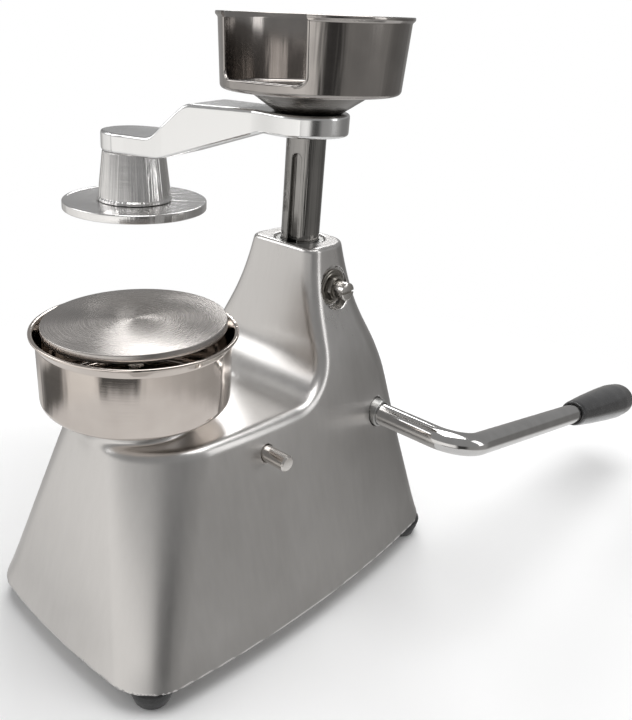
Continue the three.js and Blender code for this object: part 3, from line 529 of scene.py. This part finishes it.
def body_sides(x, y, z):
    """Distance outside the body's level outlines: rounded rectangles with bulging sides."""
    rows = [np.interp(z, SECTION_HEIGHTS, column) for column in SECTION_COLUMNS]
    half_width, side_bulge, front, rear, front_bulge, rear_bulge, front_r, rear_r, taper = rows
    centre = (front + rear) / 2
    half_depth = (rear - front) / 2
    away = y - centre
    flat_x, flat_y = x + 0 * away, away + 0 * x
    for _ in range(4):
        u2 = np.minimum((flat_x / half_width) ** 2, 1.2)
        w2 = np.minimum((flat_y / half_depth) ** 2, 1.2)
        bulge = np.where(flat_y < 0, front_bulge, rear_bulge)
        flat_x = x / (1 + side_bulge * (1 - w2) / half_width) / (1 - taper * away / half_depth)
        flat_y = away / (1 + bulge * (1 - u2) / half_depth)
    turn = np.clip(flat_y / half_depth * 1.5, -1, 1)
    radius = front_r + (rear_r - front_r) * (turn + 1) / 2
    qx = np.abs(flat_x) - (half_width - radius)
    qy = np.abs(flat_y) - (half_depth - radius)
    return np.minimum(np.maximum(qx, qy), 0) + np.hypot(np.maximum(qx, 0), np.maximum(qy, 0)) - radius


def cut_away(y, z, inset=0):
    """Positive in the air above the platform and in front of the tower."""
    radius = TOWER_FOOT_RADIUS + inset
    a = y - np.interp(z, FRONT_HEIGHTS, FRONT_Y) - inset + radius
    b = PLATFORM - inset - z + radius
    return -(np.minimum(np.maximum(a, b), 0) + np.hypot(np.maximum(a, 0), np.maximum(b, 0)) - radius)


def round_bar(a, b, radius):
    return np.hypot(a, b) - radius


def body_field(x, y, z):
    sides = body_sides(x, y, z)
    air = cut_away(y, z)
    edge_blend = np.interp(z, EDGE_BLEND_HEIGHTS, EDGE_BLEND)
    outside = smooth_max(sides, air, edge_blend)
    outside = smooth_max(outside, z - TOWER_TOP, TOP_BLEND)
    seat = smooth_max(round_bar(x, y - BOWL_Y, SEAT_R), z - SEAT_TOP, 1.5)
    whole = smooth_min(outside, smooth_max(seat, STEM_BOSS_START - z, 2), 3)
    hollow = smooth_max(sides + WALL, cut_away(y, z, WALL + 0.5), edge_blend)
    hollow = smooth_max(hollow, z - CAVITY_TOP, 8)
    shell = smooth_max(whole, -hollow, 1.5)
    for bar, start in (
        (round_bar(y - SHAFT_Y, z - SHAFT_Z, SHAFT_BOSS_R), SHAFT_BOSS_START - x),
        (round_bar(y - PIVOT_Y, z - PIVOT_Z, PIVOT_BOSS_R), PIVOT_BOSS_START - np.abs(x)),
        (round_bar(x, y - BOWL_Y, STEM_BOSS_R), STEM_BOSS_START - z),
    ):
        boss = smooth_max(bar, start, 1.5)
        shell = smooth_min(shell, np.maximum(boss, whole + BOSS_INSET), 3)
    for foot_x, foot_y in FOOT_PLACES.values():
        boss = smooth_max(round_bar(x - foot_x, y - foot_y, FOOT_BOSS_R), z - FOOT_BOSS_TOP, 2)
        shell = smooth_min(shell, np.maximum(boss, whole + BOSS_INSET), 3)
    shell = smooth_max(shell, BODY_BOTTOM - z, 1.2)
    bores = (
        (round_bar(x, y, COLUMN_BORE_R), 215 - z, 2.2),
        (round_bar(y, z - GUIDE_Z, GUIDE_RECESS_R), GUIDE_RECESS_X - x, 0.9),
        (round_bar(y, z - GUIDE_Z, GUIDE_BORE_R), 10 - x, 0.9),
        (round_bar(y - SHAFT_Y, z - SHAFT_Z, SHAFT_BORE_R), 30 - x, 1.2),
        (round_bar(y - PIVOT_Y, z - PIVOT_Z, PIVOT_BORE_R), -68 - x, 1.2),
        (round_bar(x, y - BOWL_Y, STEM_BORE_R), 140 - z, 0.9),
    )
    for bar, end, rounding in bores:
        shell = smooth_max(shell, -np.maximum(bar, end), rounding)
    return shell


_, BOWL_Y, _ = from_column(BOWL_AXIS)
_, SHAFT_Y, SHAFT_Z = from_column(SHAFT_AXIS)
_, PIVOT_Y, PIVOT_Z = from_column(PIN_AXIS)
_, _, GUIDE_Z = from_column(GUIDE_AXIS)
FOOT_PLACES = {
    place: tuple(from_column(middle(f"foot_{place}"))[:2])
    for place in ("front_left", "front_right", "rear_left", "rear_right")
}


def make_body():
    step = 1.6
    points, faces, normals = field_mesh(body_field, (-112, -248, 12), (112, 110, 278), step)
    piece("casting", points, faces, "housing", CAST, ["body_casting"], normals=normals)


make_body()


# ---------------------------------------------------------------- feet

def make_feet():
    profile = rounded([
        (6, 7, 0), (6, 0, 0.6), (12.6, 0, 1.4), (15.4, 8.5, 4), (16.6, 14.2, 1.6), (16, 16.7, 0.6),
        (3.4, 16.7, 0), (3.4, 7, 0),
    ], closed=True)
    for place, (x, y) in FOOT_PLACES.items():
        points, faces = turned(profile, 56, closed=True)
        piece(f"rubber_foot_{place}", laid(points, (x, y, 0)), faces, "housing", RUBBER,
              [f"foot_{place}"])


make_feet()


# ---------------------------------------------------------------- bowl and ejector

BOWL_BOTTOM = 183.4
BOWL_RIM = 236.4


def make_bowl():
    profile = rounded([
        (7, BOWL_BOTTOM, 0.2), (65.7, BOWL_BOTTOM, 6), (66.3, BOWL_RIM - 7, 3.5), (68.6, BOWL_RIM - 2.6, 1.5),
        (70.4, BOWL_RIM - 2.2, 0.7), (70.4, BOWL_RIM, 0.7), (67.8, BOWL_RIM - 0.4, 1.5),
        (64.9, BOWL_RIM - 6.5, 3), (64.1, BOWL_BOTTOM + 1.6, 4.4), (7, BOWL_BOTTOM + 1.6, 0.2),
    ], closed=True, steps=9)
    points, faces = turned(profile, 160, closed=True)
    piece("bowl", laid(points, (0, BOWL_Y, 0)), faces, "housing", BOWL_METAL,
          ["mould_bowl"])


EJECTOR_TOP = 242.3
EJECTOR_R = 62.5
EJECTOR_TILT = math.radians(2.2)


def make_ejector_disc():
    """The disc rests a little askew on its stem, higher towards the lever's side."""
    under = EJECTOR_TOP - 6
    profile = rounded([
        (0, under + 3.4, 0), (6.6, under + 3.4, 0), (6.6, under, 0.3), (EJECTOR_R, under, 0.8),
        (EJECTOR_R, EJECTOR_TOP, 0.9), (0, EJECTOR_TOP, 0),
    ], steps=4)
    points, faces = turned(profile, 144)
    pivot = np.array((0, 0, EJECTOR_TOP - 3))
    axis = Vector((-math.sin(CAMERA_YAW), math.cos(CAMERA_YAW), 0))
    tilt = np.array(Matrix.Rotation(-EJECTOR_TILT, 3, axis))
    tilted = (points - pivot) @ tilt.T + pivot
    piece("ejector_disc", laid(tilted, (0, BOWL_Y, 0)), faces, "ejector", DISC_METAL,
          ["ejector_plate"])


make_bowl()
make_ejector_disc()


# ---------------------------------------------------------------- column, arm and press plate

HEAD_SWING = math.radians(75)
HEAD_TURN = np.array(Matrix.Rotation(-HEAD_SWING, 3, "Z"))
COLUMN_R = 15
COLUMN_MIDDLE, COLUMN_HALF = 292.2, 74.2
GROOVE_HALF = 4
GROOVE_DEPTH = 4.5
GROOVE_BEND, GROOVE_TOP = 262, 334     # straight between these heights, slanting below
GROOVE_FALL = 22
ARM_BOSS_R = 31
PAD_R = 28
SET_SCREW_Z = 359
ARM_TOP = 367
ARM_UNDER = 351
PAD_TOP = 338
PAD_UNDER = 321.5
HEAD_REACH = 163


def column_field(x, y, z):
    radius = np.hypot(x, y)
    bar = smooth_max(radius - COLUMN_R, np.abs(z - COLUMN_MIDDLE) - COLUMN_HALF, 1)
    around = np.arctan2(y, x) * COLUMN_R
    straight = np.hypot(around, np.maximum(np.maximum(GROOVE_BEND - z, z - GROOVE_TOP), 0))
    bend = HEAD_SWING * COLUMN_R
    t = (around * bend - (z - GROOVE_BEND) * GROOVE_FALL) / (bend * bend + GROOVE_FALL * GROOVE_FALL)
    t = np.clip(t, 0, 1)
    slanted = np.hypot(around - t * bend, z - GROOVE_BEND + GROOVE_FALL * t)
    floor = COLUMN_R - GROOVE_DEPTH - radius
    groove = np.maximum(np.minimum(straight, slanted) - GROOVE_HALF, floor)
    return smooth_max(bar, -groove, 0.8)


def arm_field(x, y, z):
    reach = -y
    half = np.interp(reach, [-5, 20, 36, 112, 150, 170], [22, 21.8, 21, 30, 28.8, 28])
    web = np.maximum(np.abs(x) - half, np.maximum(-reach, reach - HEAD_REACH))
    boss = round_bar(x, y, ARM_BOSS_R)
    pad = round_bar(x, y + HEAD_REACH, PAD_R)
    plan = smooth_min(smooth_min(web, boss, 14), pad, 4)
    top = np.interp(reach, ARM_REACHES, ARM_TOPS)
    under = np.interp(reach, ARM_REACHES, ARM_UNDERS)
    level = smooth_max((z - top) * 0.86, (under - z) * 0.92, 1)
    body = smooth_max(plan, level, 2.6)
    bore = np.maximum(round_bar(x, y, COLUMN_R + 0.3), -z)
    screw = np.maximum(round_bar(y, z - SET_SCREW_Z, 4.3), x + 15)
    return smooth_max(smooth_max(body, -bore, 0.8), -screw, 0.8)


def softened(reaches, knots, values, spread_mm):
    """Straight stretches between the knots, with the kinks smoothed out."""
    raw = np.interp(reaches, knots, values)
    kernel = np.exp(-0.5 * (np.arange(-30, 31) / spread_mm) ** 2)
    return np.convolve(np.pad(raw, 30, mode="edge"), kernel / kernel.sum(), "valid")


ARM_REACHES = np.arange(-60, 231, 1.0)
ARM_TOPS = softened(ARM_REACHES, [-60, 93, 125, 230], [ARM_TOP, ARM_TOP, PAD_TOP, PAD_TOP], 3.5)
ARM_UNDERS = softened(ARM_REACHES, [-60, 28, 117, 230], [ARM_UNDER, ARM_UNDER, PAD_UNDER, PAD_UNDER], 4)


def make_head():
    points, faces, normals = field_mesh(column_field, (-17, -17, 215), (17, 17, 369), 0.9)
    piece("lift_column", points @ HEAD_TURN.T, faces, "head", COLUMN_METAL, ["column"],
          normals=normals @ HEAD_TURN.T)
    points, faces, normals = field_mesh(arm_field, (-36, -196, 317), (36, 36, 371), 1.4)
    piece("swing_arm", points @ HEAD_TURN.T, faces, "head", ARM_METAL, ["head_arm"],
          normals=normals @ HEAD_TURN.T)
    press_x, press_y, _ = from_column(PRESS_AXIS)
    hub = rounded([
        (5.3, 279.3, 0), (33.2, 279.3, 0.6), (33.2, 281.4, 0.6), (31.9, 282.6, 0.6), (27.2, 320.4, 0.5),
        (26.4, 321.2, 0.4), (5.3, 321.2, 0),
    ], closed=True)
    points, faces = turned(hub, 128, closed=True)
    piece("hub", laid(points, (press_x, press_y, 0)), faces, "head", HUB_METAL,
          ["press_hub"])
    plate = rounded([
        (5.3, 279, 0), (5.3, 276.7, 0), (10.6, 271.5, 0.3), (63.2, 271.5, 0.9), (63.2, 279, 1.1),
        (60.6, 279, 0.3), (60.2, 278.75, 0.3),
    ], closed=True)
    points, faces = turned(plate, 160, closed=True)
    piece("plate", laid(points, (press_x, press_y, 0)), faces, "head", PLATE_METAL,
          ["press_plate"])


make_head()


# ---------------------------------------------------------------- paper holder

HOLDER_FLOOR = 381.7
HOLDER_RIM = 433.5
CUT_OUT_HALF = 35
CUT_OUT_SILL = HOLDER_FLOOR + 7
CUT_OUT_ROUND = 7
CUT_OUT_FACING = math.radians(-8) - HEAD_SWING


def cut_out_outline():
    """Across and height of the cut-out's edge, from one top corner down and up to the other."""
    points = [(-CUT_OUT_HALF, HOLDER_RIM + 8), (-CUT_OUT_HALF, HOLDER_RIM - 4)]
    for side, start in ((-1, 180), (1, 270)):
        for k in range(9):
            angle = math.radians(start + 90 * k / 8)
            points.append((
                side * (CUT_OUT_HALF - CUT_OUT_ROUND) + CUT_OUT_ROUND * math.cos(angle),
                CUT_OUT_SILL + CUT_OUT_ROUND + CUT_OUT_ROUND * math.sin(angle),
            ))
    points += [(CUT_OUT_HALF, HOLDER_RIM - 4), (CUT_OUT_HALF, HOLDER_RIM + 8)]
    return points


def cutter(outline, depth_near, depth_far, facing):
    """A prism whose outline is (across, height), reaching outwards along facing."""
    out = np.array((math.cos(facing), math.sin(facing), 0))
    across = np.array((-math.sin(facing), math.cos(facing), 0))
    points = []
    for depth in (depth_near, depth_far):
        points += [out * depth + across * a + np.array((0, 0, h)) for a, h in outline]
    n = len(outline)
    faces = [list(range(n))[::-1], list(range(n, 2 * n))]
    faces += [[i, (i + 1) % n, n + (i + 1) % n, n + i] for i in range(n)]
    return points, faces


def subtract(target, points, faces):
    mesh = bpy.data.meshes.new("cutter")
    mesh.from_pydata((np.asarray(points) * MM + np.array(ORIGIN)).tolist(), [], faces)
    tool = bpy.data.objects.new("cutter", mesh)
    bpy.context.scene.collection.objects.link(tool)
    work = bmesh.new()
    work.from_mesh(mesh)
    bmesh.ops.recalc_face_normals(work, faces=work.faces)
    work.to_mesh(mesh)
    work.free()
    step = target.modifiers.new("cut", "BOOLEAN")
    step.object = tool
    step.operation = "DIFFERENCE"
    step.solver = "EXACT"
    bpy.context.view_layer.update()
    evaluated = target.evaluated_get(bpy.context.evaluated_depsgraph_get())
    cut = bpy.data.meshes.new_from_object(evaluated)
    target.modifiers.clear()
    target.data = cut
    bpy.data.objects.remove(tool)
    shade(cut, 38)


def tube(path, radius, sides):
    """Points and faces of a round bar along a path of points."""
    path = np.asarray(path, float)
    heading = np.gradient(path, axis=0)
    heading /= np.linalg.norm(heading, axis=1, keepdims=True)
    normal = np.cross(heading[0], (0.3, 0.5, 0.8))
    points, faces = [], []
    for here, along in zip(path, heading):
        normal = normal - along * (normal @ along)
        normal /= np.linalg.norm(normal)
        other = np.cross(along, normal)
        for i in range(sides):
            angle = 2 * math.pi * i / sides
            points.append(here + radius * (math.cos(angle) * normal + math.sin(angle) * other))
    rows = len(path)
    for r in range(rows - 1):
        for i in range(sides):
            j = (i + 1) % sides
            faces.append([r * sides + i, r * sides + j, (r + 1) * sides + j, (r + 1) * sides + i])
    faces.append(list(range(sides))[::-1])
    faces.append(list(range((rows - 1) * sides, rows * sides)))
    return points, faces


def holder_wall_radius(height):
    return np.interp(height, [HOLDER_FLOOR + 3, HOLDER_RIM - 3.5], [65.5, 68.1])


def make_holder():
    dish = rounded([
        (4.6, ARM_TOP + 0.3, 0), (25.5, ARM_TOP + 0.3, 3), (46.8, HOLDER_FLOOR - 0.3, 0.4),
        (44.2, HOLDER_FLOOR - 0.3, 0.4), (24.4, ARM_TOP + 2.4, 2), (4.6, ARM_TOP + 2.4, 0),
    ], closed=True)
    points, faces = turned(dish, 128, closed=True)
    # The dish takes the near-black steel, whose darkness is painted shade from the cup above it
    piece("dish", laid(points, (0, 0, 0)), faces, "head", PAINTED_SHADE_DARK_STEEL, ["holder_dish"])
    profile = rounded([
        (4.6, HOLDER_FLOOR, 0), (66, HOLDER_FLOOR, 3.4), (68.8, HOLDER_RIM - 4, 2),
        (70.6, HOLDER_RIM - 2.2, 0.8), (70.7, HOLDER_RIM - 0.2, 0.8), (69, HOLDER_RIM, 0.8),
        (67.2, HOLDER_RIM - 4, 2), (64.5, HOLDER_FLOOR + 1.5, 2.2), (4.6, HOLDER_FLOOR + 1.5, 0),
    ], closed=True, steps=7)
    points, faces = turned(profile, 160, closed=True)
    holder = piece("holder", points, faces, "head", HOLDER_METAL, ["paper_holder"])
    subtract(holder, *cutter(cut_out_outline(), 36, 92, CUT_OUT_FACING))
    out = np.array((math.cos(CUT_OUT_FACING), math.sin(CUT_OUT_FACING), 0))
    across = np.array((-math.sin(CUT_OUT_FACING), math.cos(CUT_OUT_FACING), 0))
    edge = []
    for a, height in cut_out_outline()[1:-1]:
        radius = holder_wall_radius(height)
        edge.append(out * math.sqrt(radius ** 2 - a ** 2) + across * a + np.array((0, 0, height)))
    line = []
    for first, second in zip(edge, edge[1:]):
        count = max(1, int(np.linalg.norm(second - first) / 2.5))
        line += [first + (second - first) * k / count for k in range(count)]
    points, faces = tube(line + [edge[-1]], 1.15, 10)
    piece("holder_cut_edge", points, faces, "head", HOLDER_METAL)
    head = rounded([
        (0, 344, 0), (4, 344, 0.4), (4, HOLDER_FLOOR + 1.9, 0), (8, HOLDER_FLOOR + 1.9, 0.2),
        (8, HOLDER_FLOOR + 3.6, 0.6), (5.4, HOLDER_FLOOR + 5.2, 3), (0, HOLDER_FLOOR + 5.4, 0),
    ])
    points, faces = turned(head, 48)
    piece("holder_fixing", points, faces, "head", ZINC, ["holder_screw"])


make_holder()


# ---------------------------------------------------------------- lever

LEVER_X = 152
LEVER_BEND = 26
LEVER_DROP = math.radians(11)
ROD_LENGTH = 327
GRIP_START = 209
ROD_R = 9
ALONG_LEVER = np.array((0, math.cos(LEVER_DROP), -math.sin(LEVER_DROP)))
LEVER_CORNER = np.array((LEVER_X, SHAFT_Y, SHAFT_Z))


def make_lever():
    path = [np.array((x, SHAFT_Y, SHAFT_Z)) for x in np.linspace(14, LEVER_X - LEVER_BEND, 24)]
    for k in range(1, 29):
        angle = math.pi / 2 * k / 28
        path.append(np.array((LEVER_X - LEVER_BEND + LEVER_BEND * math.sin(angle), SHAFT_Y, SHAFT_Z))
                    + ALONG_LEVER * LEVER_BEND * (1 - math.cos(angle)))
    path += [LEVER_CORNER + ALONG_LEVER * out for out in np.linspace(LEVER_BEND + 4, ROD_LENGTH, 40)]
    points, faces = tube(path, ROD_R, 40)
    piece("lever_bar", points, faces, "lever", ROD_METAL, ["lever_rod"])
    profile = rounded([
        (ROD_R + 0.2, 2, 0), (ROD_R + 0.3, 0, 0.3), (11, 0, 0.8), (12, 4, 3), (14.4, 35, 30), (16.6, 75, 30),
        (17.3, 98, 20), (16.2, 118, 14), (10.5, 132, 11), (0, 134, 0),
    ], steps=6)
    points, faces = turned(profile, 64)
    to_lever = np.array(Vector((0, 0, 1)).rotation_difference(Vector(ALONG_LEVER)).to_matrix())
    start = LEVER_CORNER + ALONG_LEVER * GRIP_START
    piece("grip", laid(points, start, to_lever), faces, "lever", GRIP, ["lever_grip"])
    bush = rounded([
        (ROD_R + 0.25, 56, 0), (11, 56, 0), (11, 77, 0.6), (ROD_R + 0.25, 77, 0.3),
    ], closed=True)
    points, faces = turned(bush, 64, closed=True)
    piece("lever_bush", laid(points, (0, SHAFT_Y, SHAFT_Z), ALONG_X), faces, "housing",
          ZINC, ["lever_bush_outer"])


make_lever()


# ---------------------------------------------------------------- tower fittings and the pivot pin

def make_fittings():
    guide = rounded([
        (0, 15.6, 0), (5.5, 15.6, 0.3), (5.5, 42.3, 0), (7, 42.3, 0.3), (7, 52.5, 1.1), (0, 52.5, 0),
    ])
    points, faces = turned(guide, 56)
    screw = piece("guide_stub", laid(points, (0, 0, GUIDE_Z), ALONG_X), faces, "housing",
                  GUIDE_METAL, ["guide_screw"])
    slot_points, slot_faces = cutter([(-9, -0.9 + GUIDE_Z), (9, -0.9 + GUIDE_Z), (9, 0.9 + GUIDE_Z),
                                      (-9, 0.9 + GUIDE_Z)], 50, 56, 0)
    subtract(screw, slot_points, slot_faces)
    washer = rounded([
        (5.9, 35.3, 0), (14, 35.3, 0.3), (14, 37, 0.5), (12.6, 37, 0.2), (12.2, 36.4, 0.2), (11.4, 36.4, 0.2),
        (11, 37, 0.2), (5.9, 37, 0.3),
    ], closed=True)
    points, faces = turned(washer, 72, closed=True)
    # Washer and nut take the darkened steel, painted shade of the recess round the guide screw
    piece("guide_ring", laid(points, (0, 0, GUIDE_Z), ALONG_X), faces, "housing", RECESS_PAINTED_SHADE_STEEL,
          ["guide_washer"])
    nut = hexagon_nut(37.3, 42, 10.4, 5.9)
    piece("guide_nut", laid(nut[0], (0, 0, GUIDE_Z), ALONG_X), nut[1], "housing", RECESS_PAINTED_SHADE_STEEL,
          ["guide_lock_nut"], sharp=22)
    pin = rounded([
        (0, -67, 0), (6, -67, 0.3), (6, 91.8, 0), (4.9, 93, 0.3), (0, 93, 0),
    ])
    points, faces = turned(pin, 56)
    piece("pivot_pin", laid(points, (0, PIVOT_Y, PIVOT_Z), ALONG_X), faces, "housing",
          PIN_METAL, ["rocker_pivot_pin"])
    bush = rounded([
        (COLUMN_R + 0.25, 219, 0), (19, 219, 0), (19, 270.9, 0.5), (COLUMN_R + 0.25, 270.9, 0.6),
    ], closed=True)
    points, faces = turned(bush, 96, closed=True)
    piece("tower_bush", points, faces, "housing", ZINC, ["column_bush"])


def hexagon_nut(low, high, radius, bore):
    """A nut with chamfered corners: a hexagon prism meets a cone at both ends."""
    sides = 60
    points, rows = [], []
    flat = radius * math.cos(math.pi / 6)
    for height, shrink in ((low, 1.1), (low + 0.8, 0), (high - 1.6, 0), (high, 1.6)):
        rows.append(list(range(len(points), len(points) + sides)))
        for i in range(sides):
            angle = 2 * math.pi * i / sides
            sector = (angle + math.pi / 6) % (math.pi / 3) - math.pi / 6
            hexagon = flat / math.cos(sector)
            r = min(hexagon, radius - shrink) if shrink else hexagon
            points.append((r * math.cos(angle), r * math.sin(angle), height))
    for height in (high - 0.6, low + 0.4):
        rows.append(list(range(len(points), len(points) + sides)))
        for i in range(sides):
            angle = 2 * math.pi * i / sides
            points.append((bore * math.cos(angle), bore * math.sin(angle), height))
    faces = []
    for a, b in zip(rows, rows[1:] + rows[:1]):
        for i in range(sides):
            j = (i + 1) % sides
            faces.append([a[i], a[j], b[j], b[i]])
    return np.array(points), faces


make_fittings()


# ---------------------------------------------------------------- carried-over CAD nodes

KEPT_MATERIALS = {
    "zinc_steel": ZINC,
    "bronze": BRONZE,
    "polished_steel": ROD_METAL,
    # carried-over brushed steel shares the dish's near-black steel, whose darkness is painted shade
    "brushed_steel": PAINTED_SHADE_DARK_STEEL,
    "bright_aluminium": HUB_METAL,
    "cast_aluminium": CAST,
    "rubber": RUBBER,
    "grip": GRIP,
}


def dress_kept_nodes():
    for name, node in frame["nodes"].items():
        if node.hide_render:
            continue
        node.data.materials.clear()
        node.data.materials.append(KEPT_MATERIALS[frame_slot(name)])


dress_kept_nodes()


# ---------------------------------------------------------------- studio

FLOOR_RADIUS = 0.72
FLOOR_FADE = (0.4, 0.7)
FLOOR_MIDDLE = (0.08, -0.1)


def make_floor():
    """A pale round of paper whose rim fades into the white surroundings."""
    mesh = bpy.data.meshes.new("studio_floor")
    rings, sides = 24, 96
    middle_x, middle_y = FLOOR_MIDDLE
    points = [(middle_x, middle_y, 0)]
    faces = []
    for r in range(1, rings + 1):
        for i in range(sides):
            angle = 2 * math.pi * i / sides
            radius = FLOOR_RADIUS * r / rings
            points.append((middle_x + radius * math.cos(angle), middle_y + radius * math.sin(angle), 0))
    for i in range(sides):
        j = (i + 1) % sides
        faces.append((0, 1 + i, 1 + j))
        for r in range(rings - 1):
            inner, outer = 1 + r * sides, 1 + (r + 1) * sides
            faces.append((inner + i, outer + i, outer + j, inner + j))
    mesh.from_pydata(points, [], faces)
    floor = bpy.data.objects.new("studio_floor", mesh)
    bpy.context.scene.collection.objects.link(floor)
    material, tree, shader = nodes_of("floor_paper")
    place = object_place(tree, (middle_x, middle_y, 0))
    shade_of = stretched_noise(tree, place, (3, 3, 3), detail=2)
    tree.links.new(tinted(tree, spread(tree, shade_of, 0, 1), (0.92, 0.92, 0.92), (0.95, 0.95, 0.95)),
                   shader.inputs["Base Color"])
    shader.inputs["Roughness"].default_value = 0.8
    away = add_node(tree, "ShaderNodeVectorMath", {0: place}, operation="LENGTH")
    fade = add_node(tree, "ShaderNodeMapRange", {
        "Value": away.outputs["Value"], "From Min": FLOOR_FADE[0], "From Max": FLOOR_FADE[1],
        "To Min": 1, "To Max": 0,
    }, interpolation_type="SMOOTHSTEP")
    tree.links.new(fade.outputs[0], shader.inputs["Alpha"])
    mesh.materials.append(material)
    floor.visible_glossy = False       # polished walls mirror the darker room instead


# Brightness of the studio by direction: degrees from +X towards +Y, and grey level
STUDIO_RING = [
    (-180, 0.5), (-165, 0.85), (-98, 1.05), (-60, 1.2), (-47, 1.05), (-35, 0.05), (-20, 0.05), (-6, 0.30),
    (40, 0.34), (62, 0.2), (92, 0.2), (106, 0.3), (150, 0.4), (165, 0.4), (180, 0.5),
]
STUDIO_LOW_RING = [
    (-180, 0.3), (-168, 0.12), (-134, 0.12), (-118, 0.85), (-86, 0.9), (-72, 0.07), (-38, 0.07), (-26, 0.7),
    (20, 0.5), (60, 0.4), (180, 0.6),
]
STUDIO_TABLE = 0.78
TABLE_EDGE = (-0.52, -0.485)           # heights of a view direction, as its z part
LOW_RING_EDGE = (-0.44, -0.41)
RING_EDGE = (-0.02, 0.10)
STUDIO_UPPER = 0.30
STUDIO_WHITE = 1.0


def round_the_studio(tree, turn, levels):
    """A grey level by direction round the room."""
    ramp = add_node(tree, "ShaderNodeValToRGB", {"Fac": turn})
    ramp.color_ramp.interpolation = "EASE"
    elements = ramp.color_ramp.elements
    while len(elements) > 1:
        elements.remove(elements[-1])
    for degrees, level in levels:
        place = (degrees + 180) / 360
        element = elements[0] if place == 0 else elements.new(place)
        element.position = place
        element.color = (level, level * 0.985, level * 0.965, 1)
    return ramp.outputs["Color"]


def by_height(tree, height, first, second, low, high):
    """Goes from the first colour to the second between two heights of the view direction."""
    factor = add_node(tree, "ShaderNodeMapRange", {
        "Value": height, "From Min": low, "From Max": high, "To Min": 0, "To Max": 1,
    }, interpolation_type="SMOOTHSTEP")
    both = add_node(tree, "ShaderNodeMix", {"Factor": factor.outputs[0]}, data_type="RGBA")
    for socket, colour in (("A", first), ("B", second)):
        if isinstance(colour, float):
            both.inputs[socket].default_value = (colour, colour, colour, 1)
        else:
            tree.links.new(colour, both.inputs[socket])
    return both.outputs["Result"]


def make_world():
    """Soft grey studio walls with a few lighter and darker stretches; the camera sees plain white."""
    world = bpy.data.worlds.new("studio")
    world.use_nodes = True
    tree = world.node_tree
    background = tree.nodes["Background"]
    coordinates = add_node(tree, "ShaderNodeTexCoord")
    parts = add_node(tree, "ShaderNodeSeparateXYZ", {0: coordinates.outputs["Generated"]})
    angle = add_node(tree, "ShaderNodeMath", {0: parts.outputs[1], 1: parts.outputs[0]}, operation="ARCTAN2")
    turn = spread(tree, angle.outputs[0], 0, 1, -math.pi, math.pi)
    height = parts.outputs[2]
    low_ring = round_the_studio(tree, turn, STUDIO_LOW_RING)
    table = by_height(tree, height, STUDIO_TABLE, low_ring, *TABLE_EDGE)
    walls = by_height(tree, height, table, round_the_studio(tree, turn, STUDIO_RING), *LOW_RING_EDGE)
    room = by_height(tree, height, walls, STUDIO_UPPER, *RING_EDGE)
    path = add_node(tree, "ShaderNodeLightPath")
    seen = add_node(tree, "ShaderNodeMix", {"Factor": path.outputs["Is Camera Ray"]}, data_type="RGBA")
    tree.links.new(room, seen.inputs["A"])
    seen.inputs["B"].default_value = (STUDIO_WHITE, STUDIO_WHITE, STUDIO_WHITE, 1)
    tree.links.new(seen.outputs["Result"], background.inputs["Color"])
    bpy.context.scene.world = world


def area_light(name, place, target, width, height, power, colour=(1, 1, 1)):
    data = bpy.data.lights.new(name, "AREA")
    data.shape = "RECTANGLE"
    data.size = width
    data.size_y = height
    data.energy = power
    data.color = colour
    light = bpy.data.objects.new(name, data)
    light.location = place
    light.rotation_euler = (Vector(target) - Vector(place)).to_track_quat("-Z", "Y").to_euler()
    bpy.context.scene.collection.objects.link(light)


make_floor()
make_world()
area_light("key_left", (-1.5, -1.5, 1.3), (0, 0, 0.2), 1.6, 1.2, 14)
area_light("top", (0.1, 0.2, 2.0), (0, 0, 0.2), 1.6, 1.6, 30)
area_light("rim_right", (1.7, 0.9, 0.9), (0, 0, 0.25), 0.5, 1.4, 4)
area_light("window_back", (-1.5, 1.5, 1.7), (0, -0.1, 0.2), 1.0, 0.7, 14)
bpy.context.scene.view_settings.view_transform = "Standard"
